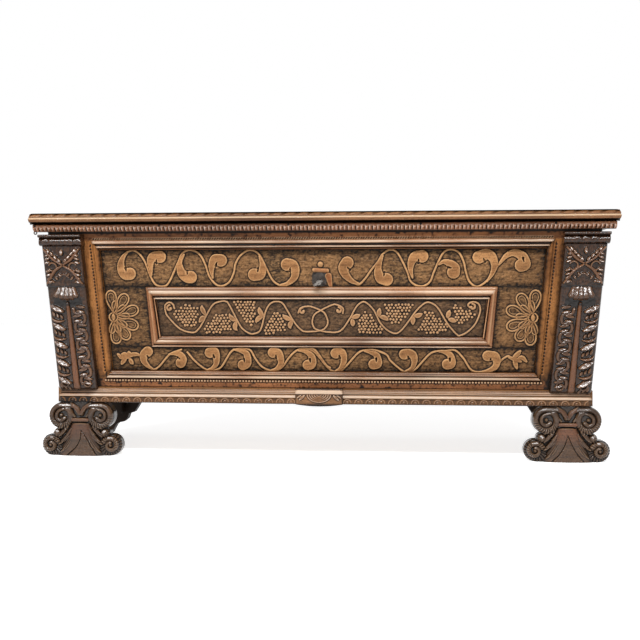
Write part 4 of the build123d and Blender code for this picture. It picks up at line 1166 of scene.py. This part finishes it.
def claw_flutes(carving, low, high):
    """Flutes of the drop under the block, with rounded ends."""
    for share in (-1, -0.5, 0, 0.5, 1):
        drop = low + 12 + 8 * share ** 2
        points = [(share * 17, high + 4), (share * 23, (low + high) / 2 + 4), (share * 25, drop)]
        carving.stroke(tapered(points, 4.8, 7.4), round_top(1.0))


def pilaster(side):
    """Carved pilaster: shaft with rib and leaves, claw, block, roll and abacus."""
    half = PILASTER_WIDTH / 2
    x, level = face_grid(straight(-half), straight(half), PILASTER_LOW, BLOCK_HIGH, FINE_PITCH)
    shaft, block, ribs, claw = [Carving(x, level) for _ in range(4)]
    at = side_places(side)
    curls = outer_leaves(shaft, at, SHAFT_HIGH - 10)
    inner_leaves(shaft, at, SHAFT_HIGH - 16)
    for hand in SIDES:
        curl = arc((hand * 28, PILASTER_LOW + 20), 12, 90, -hand * 420, 4)
        shaft.stroke(tapered(curl, 3.4, 2.6), round_top(7))
    ribs.stroke(tapered([(0, PILASTER_LOW + 9), (0, SHAFT_HIGH - 2)], *RIB_HALF), round_top(8))
    block_leaves(block, ribs, (BLOCK_LOW + BLOCK_HIGH) / 2)
    claw_flutes(claw, SHAFT_HIGH, BLOCK_LOW)

    foot = 9 * clamped((PILASTER_LOW + 14 - level) / 14) ** 2
    rounded = 6 * clamped((abs(x) - half + 6) / 6) ** 2
    on_shaft = SHAFT_OUT - foot - rounded + np.maximum(shaft.raised, ribs.raised)
    rounded = 4 * clamped((abs(x) - half + 4) / 4) ** 2
    on_block = BLOCK_OUT - rounded + np.maximum(block.raised, ribs.raised)
    in_block = level >= BLOCK_LOW
    in_claw = (level < BLOCK_LOW) & (claw.raised > 0.2)
    drop = clamped((BLOCK_LOW - level) / (BLOCK_LOW - SHAFT_HIGH))
    swell = CLAW_OUT + 12 * clamped(drop / 0.55) - 14 * clamped((drop - 0.6) / 0.3) ** 2
    on_claw = np.maximum(swell + 3.4 * (claw.raised - 1), on_shaft)
    out = np.minimum(np.where(in_block, on_block, np.where(in_claw, on_claw, on_shaft)), FACE_LIMIT)
    # Painted shade on the shaft under the claw, where nothing is cut.
    hollow = hump(level - SHAFT_HIGH, 10) * (abs(x) < 38) * (1 - in_claw)
    joint = hump(level - BLOCK_LOW, 1.6)
    warm = clamped(ribs.raised / 4) * np.where(in_block, 0.4, 0.75) + 0.3 * curls
    proud = np.where(in_claw, 7, on_shaft - SHAFT_OUT + 1)
    shaft.raised = np.where(in_block, on_block - BLOCK_OUT + 1, proud)
    # Dark joint under the block, and painted shade between the claw's flutes.
    dirt_and_painted_light = hollow + joint + in_claw * (1 - claw.raised) * 0.9
    layers = shaft.layers(9.0, clamped(warm), dirt_and_painted_light)
    out = FRAME_OUT + out + roughness(x.shape, 60 + side, 8) * 0.1
    parts = [slab(side * pilaster_mid(level) + x, level, out, FRAME_OUT)] + capital(side)
    name = SIDES[side]
    add_piece("carved_pilaster_" + name, parts, DARK_WOOD, ["pilaster_" + name], layers)


CAPITAL_FACE = FRAME_OUT + 32.0 + CAPITAL_STEP       # where the sections' out is 0
ROLL_HIGH = 22.0
# Sections as for the mouldings.
ROLL = [
    (0, -11, 0), (1.5, -9, 0), (4, -6.5, 0), (9, -3.6, 0), (14, -2.8, 0), (18, -5, 0), (20.5, -9, 0),
    (22, -14, 0),
]
ABACUS = [(0, -3, 0), (1.2, -1.4, 0), (4.4, 0, 0), (6.2, -1.6, 0), (8, -6, 0)]


def capital(side):
    """Roll with slanting strokes, and abacus, a step wider than the block."""
    def strokes(x, level):
        slant = np.sin((x * side + 0.9 * level) / 3.4)
        return slant * clamped(np.sin(x / 17) + 0.7) - 0.6

    parts = []
    roll_top = BLOCK_HIGH + ROLL_HIGH
    half = PILASTER_WIDTH / 2 + CAPITAL_STEP
    for low, high, section, carve in (
        (BLOCK_HIGH, roll_top, ROLL, strokes), (roll_top, CAPITAL_TOP, ABACUS, None),
    ):
        edges = []
        for level in (high, low):
            middle = side * pilaster_mid(level)
            edges.append(((middle - half, level), (middle + half, level)))
        member = front_member(*edges, section, CAPITAL_FACE, FRAME_OUT, spacing=PITCH, carve=carve)
        parts.append(member[0])
    return parts


# ------------------------------------------------------------------ plinth
ARC_PITCH = 29.0
PLINTH_ROUNDING = 14.0       # radius of the outer corner
AGED_FROM = 590.0            # the left end is darker beyond this distance from the middle


def plinth_section():
    """Points (depth, level, dirt and painted light) of the plinth from its top edge down to its lower
    edge.
    """
    top, low = PLINTH_TOP, FOOT_HEIGHT
    # Third values: above zero, a dark joint at the top and grooves darkened with dirt and painted shade;
    # below zero, ridges and the torus facet lightened, rubbed wear and painted highlights.
    upper = [
        (13.4, 0, 0.9), (13.0, 2.4, 1), (10.6, 3.0, 0.4), (9.4, 4.6, -0.5), (9.8, 5.4, 0.45),
        (9.0, 6.2, 0.1), (7.9, 8.8, -0.7), (8.5, 9.8, 0.45), (7.8, 10.6, 0.1), (6.6, 13.4, -0.7),
        (7.4, 14.2, 0.3), (8.2, 14.8, 0.6), (8.0, 15.6, 0.5), (6.0, 16.2, 0.1), (5.4, 16.8, -0.3),
        (2.6, 22.6, -1), (2.4, 24.0, 0), (3.8, 25.0, 0.2), (6.2, 26.0, 0.4),
    ]
    lower = [(3.0, 2.6, 0.4), (2.4, 1.4, 0.4), (3.6, 0.3, 0.6), (5.0, 0, 0.8), (13.4, 0, 0.8)]
    points = [(depth, top - fall, dirt_and_painted_light) for depth, fall, dirt_and_painted_light in upper]
    points += [(6.2, top - 26 - step, 0.15) for step in np.linspace(0, 10.5, 12)]
    points += [(depth, low + rise, dirt_and_painted_light) for depth, rise, dirt_and_painted_light in lower]
    return np.array(points)


def plinth_arcs(run, level):
    """Raised half-round arcs with a small lens in each, along the lower band."""
    centre = (run / ARC_PITCH - np.floor(run / ARC_PITCH) - 0.5) * ARC_PITCH
    base = FOOT_HEIGHT + 3.5
    distance = np.hypot(centre, level - base)
    ring = hump(distance - 9.4, 1.5)
    lens = np.exp(-((centre / 3.6) ** 2 + ((level - base - 3) / 2.2) ** 2))
    return np.maximum(ring, 0.6 * lens) * (level < base + 11.5) * (level > base - 2)


def plinth_front(side):
    """Half of the front moulding, turned round its outer corner."""
    depth, level, grime_and_painted_light = plinth_section().T
    band = (level < PLINTH_TOP - 25.5) & (level > FOOT_HEIGHT + 3)
    face = PLINTH_LOW[1]
    start, corner = PLAQUE_HIGH[0], PLINTH_HIGH[0] - PLINTH_ROUNDING
    stations = [(x, 0.0, 0.0) for x in np.linspace(start, corner, round((corner - start) / LONG_PITCH))]
    stations += [(corner, 0.0, turn) for turn in np.linspace(0, 90, 8)[1:]]
    stations += [(corner, along, 90.0) for along in (7.0, 20.0)]
    rings, dirt_and_painted_light = [], []
    for x, along, turn in stations:
        angle = math.radians(turn)
        proud = plinth_arcs(x, level) * (turn == 0) * (depth < 6.5)
        worn = 0.4 * math.sin(x / 23) + 0.3 * math.sin(x / 9.7)
        reach = PLINTH_ROUNDING - depth + 3.4 * proud + np.clip(worn, -0.5, 0) * (depth < 9)
        y = face + PLINTH_ROUNDING - reach * math.cos(angle) + along
        rings.append(np.column_stack([x + reach * math.sin(angle), y, level]))
        # The lower band a little darker, its arcs lighter: painted highlights on the arcs; the left end
        # aged darker.
        aged = 0.35 * clamped((x - AGED_FROM) / 20) * (side < 0)
        dirt_and_painted_light.append(grime_and_painted_light + band * (0.2 - 0.75 * proud) + aged)
    rings = np.array(rings)[:, ::-1]
    behind = face + 13.0
    ends = (start, PLINTH_HIGH[0] - 0.9)
    corners = [
        (behind, PLINTH_TOP), (front_y(PLINTH_TOP), PLINTH_TOP),
        (front_y(FOOT_HEIGHT), FOOT_HEIGHT), (behind, FOOT_HEIGHT),
    ]
    block = np.array([[(x, y, level) for y, level in corners] for x in ends])
    parts = [tube(rings), tube(block)]
    if side < 0:
        parts = [mirror(part) for part in parts]
    add_piece(
        "plinth_moulding_" + SIDES[side], parts, PLINTH_WOOD,
        ["plinth_front_" + SIDES[side]], {"cavity": np.array(dirt_and_painted_light)[:, ::-1]},
    )


def mirror(part):
    """The part on the other side of the chest."""
    points, curved, flat = part
    flipped = np.array(points) * (-1, 1, 1)
    return flipped, [face[::-1] for face in curved], [face[::-1] for face in flat]


def plaque():
    """Middle block of the plinth with a swag of fanned arcs and a sagging lower edge."""
    half = PLAQUE_HIGH[0]
    low, top = PLAQUE_LOW[2], PLINTH_TOP
    carving = Carving(*face_grid(straight(-half), straight(half), low, top, 1.1))
    rise = (FOOT_HEIGHT - low) * (carving.x / half) ** 2
    carving.height = carving.height + rise * (top - carving.height) / (top - low)
    for radius in range(6, 31, 6):
        swag = arc((0, top - 15), radius, 180, 180, flat=0.62)
        carving.swag(tapered(swag, 2.3), round_top(2.6))
    for side in SIDES:
        carving.swag(bulged([(side * 38, top - 17), (side * 50, top - 28)], 1.8, 4.0), round_top(3.0))
        carving.swag(bulged([(side * 47, top - 17), (side * 56, top - 23)], 1.2, 2.6), round_top(2.4))
    fall = top - carving.height
    band = np.interp(fall, [2.0, 3.2, 4.4, 11.6, 13.4, 14.4], [0.4, 1.6, 2.0, 4.0, 3.2, 0.0])
    carving.raised = np.maximum(carving.raised, band)
    out = np.minimum(-4.0 + carving.raised, 0)
    place = upright(PLAQUE_LOW[1])
    back = PLAQUE_LOW[1] - front_y(PLINTH_TOP)
    # Darker along the edges, dirt and painted shade, and a little below the band; the raised band lighter,
    # rubbed wear and painted highlight.
    dirt_and_painted_light = 0.5 * beside(carving, 3) + 0.1 * (fall > 14.4) - 0.8 * ((fall > 4) & (fall < 12))
    add_piece(
        "plaque_carved", [slab(carving.x, carving.height, out, back, place)], PLINTH_WOOD,
        ["plinth_plaque"], carving.layers(4.0, dirt_and_painted_light=dirt_and_painted_light),
    )


# ------------------------------------------------------------------ feet
# Places on a foot are (distance from its middle, height), for one half.
FOOT_DEPTH = 45.0
FOOT_BASE = -13.0            # the ground of the carving, behind the foot's face
FOOT_SLOPE = 0.56            # of its facets and leaves
FOOT_COLUMNS = 181           # points across
EYE, BALL, LOW_EYE = (52, 105), (64, 59), (80, 28)
# Middles and radii of the rounds that its outline follows.
FOOT_ROUNDS = ((*EYE, 35.0), (*BALL, 12.5), (*LOW_EYE, 28.0))
INNER_BAND = [(16, 103), (27, 115), (40, 122), (54, 120), (64, 110), (63, 97), (52, 92), (43, 98)]
FOOT_LEAVES = (
    ((30, 84), (44, 66), (58, 50), 6.4), ((26, 70), (40, 46), (58, 30), 6.8),
    ((22, 54), (34, 28), (52, 10), 6.4), ((33, 88), (48, 76), (58, 72), 4.4),
)
FOOT_VEINS = (
    ((31, 74), (49, 52)), ((28, 58), (47, 33)), ((26, 42), (43, 16)), ((38, 62), (54, 44)),
    ((36, 44), (52, 24)),
)


def foot_half(level):
    """Half width of a front foot at a height: two volutes and a ball between them."""
    half = np.where(level < 28, 80.0, 52.0)
    for spread, centre, radius in FOOT_ROUNDS:
        inside_round = abs(level - centre) <= radius
        edge = spread + np.sqrt(np.clip(radius ** 2 - (level - centre) ** 2, 0, None))
        half = np.where(inside_round, np.maximum(half, edge), half)
    return half


def radial_cuts(carving, at, centre, near, far, angles, lag=0):
    """Fine cuts across a volute."""
    for angle in angles:
        ends = []
        for reach, turn in ((far, math.radians(angle)), (near, math.radians(angle - lag))):
            ends.append(at(centre[0] + reach * math.cos(turn), centre[1] + reach * math.sin(turn)))
        carving.stroke(tapered(ends, 2.0, 0.9), round_top(3.6), cut=True)


def foot_side(carving, at):
    """Volutes, ball and leaves on one side of a front foot."""
    band = [(3, 110), (9, 124), (24, 131), *arc(EYE, 27.5, 100, -330, 25)]
    band = tapered([at(*point) for point in band], 6.0, 9.0)
    carving.stroke(band, round_top(12.0), facet=FOOT_SLOPE)
    inner = tapered([at(*point) for point in INNER_BAND], 3.4, 6.0)
    carving.stroke(inner, round_top(10.0), facet=FOOT_SLOPE)
    carving.stroke([(*at(EYE[0], EYE[1] + 1), 5.0)], round_top(9))
    radial_cuts(carving, at, EYE, 22, 36, range(-10, -150, -13), 9)
    carving.stroke([(*at(*BALL), 11.0)], round_top(11), facet=FOOT_SLOPE)
    radial_cuts(carving, at, BALL, 3, 12, (30, -15, -60))
    ring = tapered([at(*point) for point in arc(LOW_EYE, 20.0, 150, -420, 7)], 7.6, 4.6)
    carving.stroke(ring, round_top(11.5), facet=FOOT_SLOPE)
    radial_cuts(carving, at, LOW_EYE, 11, 29, range(60, -230, -17), 14)
    carving.stroke([(*at(*LOW_EYE), 4.6)], round_top(11))
    for *points, width in FOOT_LEAVES:
        leaf = bulged([at(*point) for point in points], 3.0, width)
        carving.stroke(leaf, flat_top(9, 2.6), tilt=FOOT_SLOPE)
    for ends in FOOT_VEINS:
        carving.stroke(tapered([at(*point) for point in ends], 1.0, 1.5), round_top(3), cut=True)
    upper_leaf = bulged([at(26, 139), at(13, 127), at(2, 108)], 3.4, 6.0)
    carving.stroke(upper_leaf, flat_top(10.5, 2.6), tilt=FOOT_SLOPE)


def front_foot(side):
    """Carved scroll foot."""
    level = np.linspace(0, FOOT_HEIGHT, round(FOOT_HEIGHT / FINE_PITCH) + 1)[:, None]
    share = np.linspace(-1, 1, FOOT_COLUMNS)[None, :]
    x = foot_half(level) * share
    height = np.broadcast_to(level, x.shape).copy()
    carving, collar = Carving(x, height), Carving(x, height)
    for hand in SIDES:
        foot_side(carving, side_places(hand))
    skirt = 24 + 0.42 * np.clip(86 - height, 0, None)
    bell = 10.5 * np.sqrt(clamped(1 - (x / skirt) ** 2)) * clamped((88 - height) / 3)
    carving.raised = np.maximum(carving.raised, bell)
    lean = 9 if side < 0 else 2
    for hand in SIDES:
        split = [
            (lean * 0.3, 67), (hand * 9 + lean, 44), (hand * 21 + lean, 22), (hand * 39 + lean * 0.5, 2),
        ]
        carving.stroke(tapered(split, 1.3, 2.0), round_top(4.2), cut=True)
    collar.stroke(tapered([(-19, 94.5), (19, 94.5)], 6.2), flat_top(12, 3))
    carving.raised = np.maximum(carving.raised, collar.raised)
    carving.stroke(tapered([(-24, 85), (0, 87.5), (24, 85)], 1.4), round_top(3.5), cut=True)
    inside_split = (abs(x - lean) < 0.62 * (66 - height)) & (height < 64)
    tooled = roughness(x.shape, 72, 3) * (0.4 * inside_split + 0.05)
    rounding = 8 * clamped((abs(share) - 0.93) / 0.07) ** 2
    out = np.minimum(FOOT_BASE + carving.relief() + tooled - rounding, 0)
    red_bell = clamped((height - 40) / 30) * (bell > 4) * (height < 88)
    warm = clamped(collar.raised / 8 + 0.7 * red_bell + 0.5 * (height > 112) * (abs(x) < 22))
    middle = side * (FOOT_LOW[0] + FOOT_TOP[0]) / 2
    part = slab(middle + x, height, out, -FOOT_DEPTH, upright(FOOT_LOW[1]))
    # The top strip, just under the plinth, is darker.
    layers = carving.layers(10.0, warm, 0.5 * (height > 136))
    name = SIDES[side]
    add_piece("carved_foot_" + name, [part], FOOT_WOOD, ["front_foot_" + name], layers)


# ------------------------------------------------------------------ lid
EDGE_RADIUS = 12.0
GADROON_PITCH = 33.0
DENTIL_PITCH = 20.5       # length of a pair of notches in the lip
HINGE_ROOM = 5.1          # radius of the rooms for the hinge knuckles
LID_CORNER = 3.0


def gadroons(run, share):
    """Depth of the slanted hollows along the lid's carved edge; share is 0 low and 1 at the top."""
    phase = (run / GADROON_PITCH - 0.6 * (share - 0.5)) % 1.0 - 0.5
    width = 0.3 * np.sqrt(clamped(1 - ((share - 0.5) / 0.5) ** 2)) + 1e-6
    return clamped(1 - (phase / width) ** 2)


def lid_section():
    """Points (depth, level, share, dirt and painted light) of the lid's edge, from its underside up.

    share says how far up the carved part a point lies, and is below zero on the plain part.
    """
    base, top = LID_LOW[2], LID_HIGH[2]
    # Third values: the underside rebate painted dark, painted shade; the facet under the carved band
    # lighter, rubbed wear and painted highlight; the groove over it darker.
    moulded = [
        (11.0, 0.0, 1), (10.6, 4.4, 1), (3.4, 5.4, 0.5), (2.0, 6.4, 0.1), (1.2, 9.0, 0), (0.4, 11.6, 0),
        (0.0, 12.6, -0.3), (0.3, 13.6, -0.8), (1.5, 16.6, -0.6), (2.6, 17.4, 0.5),
    ]
    points = [(depth, base + rise, -1, dirt_and_painted_light) for depth, rise, dirt_and_painted_light in moulded]
    for share in np.linspace(0, 1, 13):
        angle = math.radians(14 + 76 * share)
        depth = EDGE_RADIUS * (1 - math.cos(angle)) + 1.4
        points.append((depth, top - EDGE_RADIUS * (1 - math.sin(angle)), share, 0))
    return np.array(points)


def lid():
    """Lid board with a carved edge on the front and both ends."""
    depth, height, share, grime_and_painted_light = lid_section().T
    left, right = LID_LOW[0] + LID_CORNER, LID_HIGH[0] - LID_CORNER
    front, back = LID_LOW[1] + LID_CORNER, LID_HIGH[1]
    # Stations round the edge: place, direction out in degrees, and distance run.
    path = [(left, y, 180.0, back - y) for y in np.linspace(back, front, 260)]
    path += [(left, front, turn, back - LID_LOW[1]) for turn in np.linspace(180, 270, 5)[1:-1]]
    path += [(x, front, 270.0, x) for x in np.linspace(left, right, 940)]
    path += [(right, front, turn, LID_HIGH[0]) for turn in np.linspace(270, 360, 5)[1:-1]]
    path += [(right, y, 360.0, back - y) for y in np.linspace(front, back, 260)]
    rows, dirt_and_painted_light = [], []
    for x, y, turn, run in path:
        carved = gadroons(run, share) * (share >= 0)
        uneven = 0.35 * math.sin(run / 31) + 0.25 * math.sin(run / 12.3)
        reach = LID_CORNER - depth - 1.8 * carved + min(uneven, 0) * (share < 0)
        angle = math.radians(turn)
        level = height - 1.2 * carved * share
        rows.append(np.column_stack([x + reach * math.cos(angle), y + reach * math.sin(angle), level]))
        # Gadroon hollows darker: dirt and painted shade.
        dirt_and_painted_light.append(np.clip(grime_and_painted_light + 0.3 * carved, -1, 1))
    rows = np.array(rows)
    count, width = rows.shape[:2]
    faces = []
    for station in range(count - 1):
        for here in range(station * width, (station + 1) * width - 1):
            faces.append([here, here + width, here + width + 1, here + 1])
    underside = [station * width for station in reversed(range(count))]
    top = [station * width + width - 1 for station in range(count)]
    rear = list(range(width)) + [(count - 1) * width + corner for corner in reversed(range(width))]
    part = (rows.reshape(-1, 3), faces, [underside, top, rear])
    layers = {"cavity": np.array(dirt_and_painted_light)}
    hinge_rooms(add_piece("lid_carved", [part], LID_WOOD, ["lid_board"], layers, "lid"))


def hinge_rooms(lid_piece):
    """Cuts the rooms for the hinge knuckles into the lid's underside."""
    for side in SIDES.values():
        low, high = node_box("hinge_pin_" + side)
        middle = (low + high) / 2
        bpy.ops.mesh.primitive_cylinder_add(
            vertices=24, radius=HINGE_ROOM * MM, depth=(high[0] - low[0] + 2) * MM,
            location=middle * MM, rotation=(0, math.pi / 2, 0),
        )
        cutter = bpy.context.object
        room = lid_piece.modifiers.new("hinge_room", "BOOLEAN")
        room.operation, room.object, room.solver = "DIFFERENCE", cutter, "EXACT"
        with bpy.context.temp_override(object=lid_piece, active_object=lid_piece):
            bpy.ops.object.modifier_apply(modifier=room.name)
        bpy.data.objects.remove(cutter)


def lip():
    """Hollowed strip under the front of the lid, notched along its lower edge."""
    low, high = LIP_LOW[2], LIP_HIGH[2]
    front, back = LIP_LOW[1], LIP_HIGH[1]
    # Third values: the top strip under the lid and the underside painted dark, painted shade.
    points = [(1.6, high, 0.8), (0.8, high - 0.6, 0.1), (0.0, high - 1.6, 0), (0.0, low + 13.5, 0)]
    for turn in np.linspace(0, 90, 9):
        angle = math.radians(turn)
        points.append((8 * (1 - math.cos(angle)), low + 12 - 9 * math.sin(angle), 0))
    points += [(8.2, low + 1.5, 0.1), (9.2, low, 0.4), (back - front, low, 0.6), (back - front, high, 0)]
    depth, level, grime_and_painted_light = np.array(points).T
    rise = (level - low - 6.5) / 6.0
    window = np.sqrt(clamped(1 - rise ** 2)) * (depth < 9)
    rings, dirt_and_painted_light = [], []
    for x in np.linspace(LIP_LOW[0], LIP_HIGH[0], round((LIP_HIGH[0] - LIP_LOW[0]) / LONG_PITCH)):
        turn = x / DENTIL_PITCH + 0.06 * math.sin(x / 31)
        arch, phase = turn % 1.0 - 0.5, (2 * turn) % 1.0 - 0.5
        notch = np.sqrt(clamped(1 - ((phase + 0.08) / 0.2) ** 2)) * window
        crest = hump(phase - 0.22 + 0.06 * rise ** 2, 0.13) * window
        bow = 0.5 * hump(rise - 0.9 + 3 * arch ** 2, 0.22) * (depth < 9)
        notch, crest = notch * (1 - 0.5 * (abs(arch) > 0.25)), np.maximum(crest, bow)
        y = front + depth + 3.6 * notch - 0.8 * crest
        rings.append(np.column_stack([np.full(len(level), x), y, level]))
        # Notches darker, dirt and painted shade; crests and arches lighter, painted highlights.
        dirt_and_painted_light.append(np.clip(grime_and_painted_light + 0.95 * notch - 1.3 * crest, -1, 1))
    layers = {"cavity": np.array(dirt_and_painted_light)}
    add_piece("lip_notched", [tube(np.array(rings))], LIP_WOOD, ["lid_lip"], layers, "lid")


RING_RADIUS = 3.6
RING_HALF = 1.5           # half the thickness of its wire


def lip_ring():
    """Small turned ring that hangs under the lip's left end."""
    centre = np.array([LIP_LOW[0] + 4, LIP_LOW[1] + 10, LIP_LOW[2] + 0.5])
    rings = []
    for turn in np.linspace(0, 2 * math.pi, 25)[:-1]:
        ring = []
        for angle in np.linspace(0, 2 * math.pi, 9)[:-1]:
            reach = RING_RADIUS + RING_HALF * math.cos(angle)
            across, up = reach * math.cos(turn), reach * math.sin(turn) - 3.0
            ring.append(centre + (across, RING_HALF * math.sin(angle), up))
        rings.append(ring)
    rings = np.array(rings)
    points, sides, _ = tube(np.concatenate([rings, rings[:1]]))
    add_piece("lip_ring", [(points, sides, [])], IRON, body="lid")


# ------------------------------------------------------------------ light, floor and camera
# In metres.
CAMERA_PLACE = (0.2008, -2.6616, 0.409)
CAMERA_TURN = math.radians(4.8)
LENS = 53.72
PICTURE = 640             # pixels, for the shift of the lens
LIGHT_AIM = (0, -0.2, 0.35)
FLOOR_REACH = 12.0
WORLD_LIGHT = 0.22        # strength of the white world for what isn't seen directly
FLOOR_GLOW = 0.76


def area_light(name, place, size, power):
    """Soft lamp that points at the chest."""
    data = bpy.data.lights.new(name, "AREA")
    data.shape = "RECTANGLE"
    data.size, data.size_y = size
    data.energy = power
    lamp = new_object(name, data)
    lamp.location = place
    x, y, z = np.array(LIGHT_AIM) - np.array(place)
    lamp.rotation_euler = (math.atan2(math.hypot(x, y), -z), 0, math.atan2(y, x) - math.pi / 2)


def studio():
    """White world for what the camera and reflections see, a staged floor, and soft lamps."""
    world = bpy.data.worlds.new("studio")
    bpy.context.scene.world = world
    make = Nodes(world, "Background")
    strength = make.spread(make.seen(), 0.0, 1.0, WORLD_LIGHT)
    make.feed(make.shader, Color=(1, 1, 1, 1), Strength=strength)

    mesh = bpy.data.meshes.new("floor")
    corners = [(x * FLOOR_REACH, y * FLOOR_REACH, 0) for x, y in ((-1, -1), (1, -1), (1, 1), (-1, 1))]
    mesh.from_pydata(corners, [], [(0, 1, 2, 3)])
    floor = new_object("floor", mesh)
    material = bpy.data.materials.new("floor_white")
    make = Nodes(material)
    glow = make.calc("MULTIPLY", make.seen(), FLOOR_GLOW)
    make.feed(
        make.shader, Base_Color=(0.9, 0.9, 0.9, 1), Roughness=0.8,
        Emission_Color=(1, 1, 1, 1), Emission_Strength=glow,
    )
    mesh.materials.append(material)

    area_light("window_light", (-1.0, -3.4, 1.5), (1.6, 0.9), 12)
    area_light("high_light", (-0.2, -2.1, 2.3), (3.4, 0.12), 95)


def camera():
    data = bpy.data.cameras.new("camera")
    data.lens = LENS
    data.sensor_width = 36
    data.shift_x = 3 / PICTURE
    data.shift_y = -20 / PICTURE
    data.clip_end = 50
    item = new_object("camera", data)
    item.location = CAMERA_PLACE
    item.rotation_euler = (math.radians(90), 0, CAMERA_TURN)
    bpy.context.scene.camera = item


dress_nodes()
carved_field()
vine_panel()
frame_mouldings()
inner_frame()
rails()
for chest_side in SIDES:
    stile(chest_side)
    pilaster(chest_side)
    plinth_front(chest_side)
    front_foot(chest_side)
plaque()
lid()
lip()
lip_ring()
studio()
camera()
bpy.context.scene.view_settings.view_transform = "Standard"
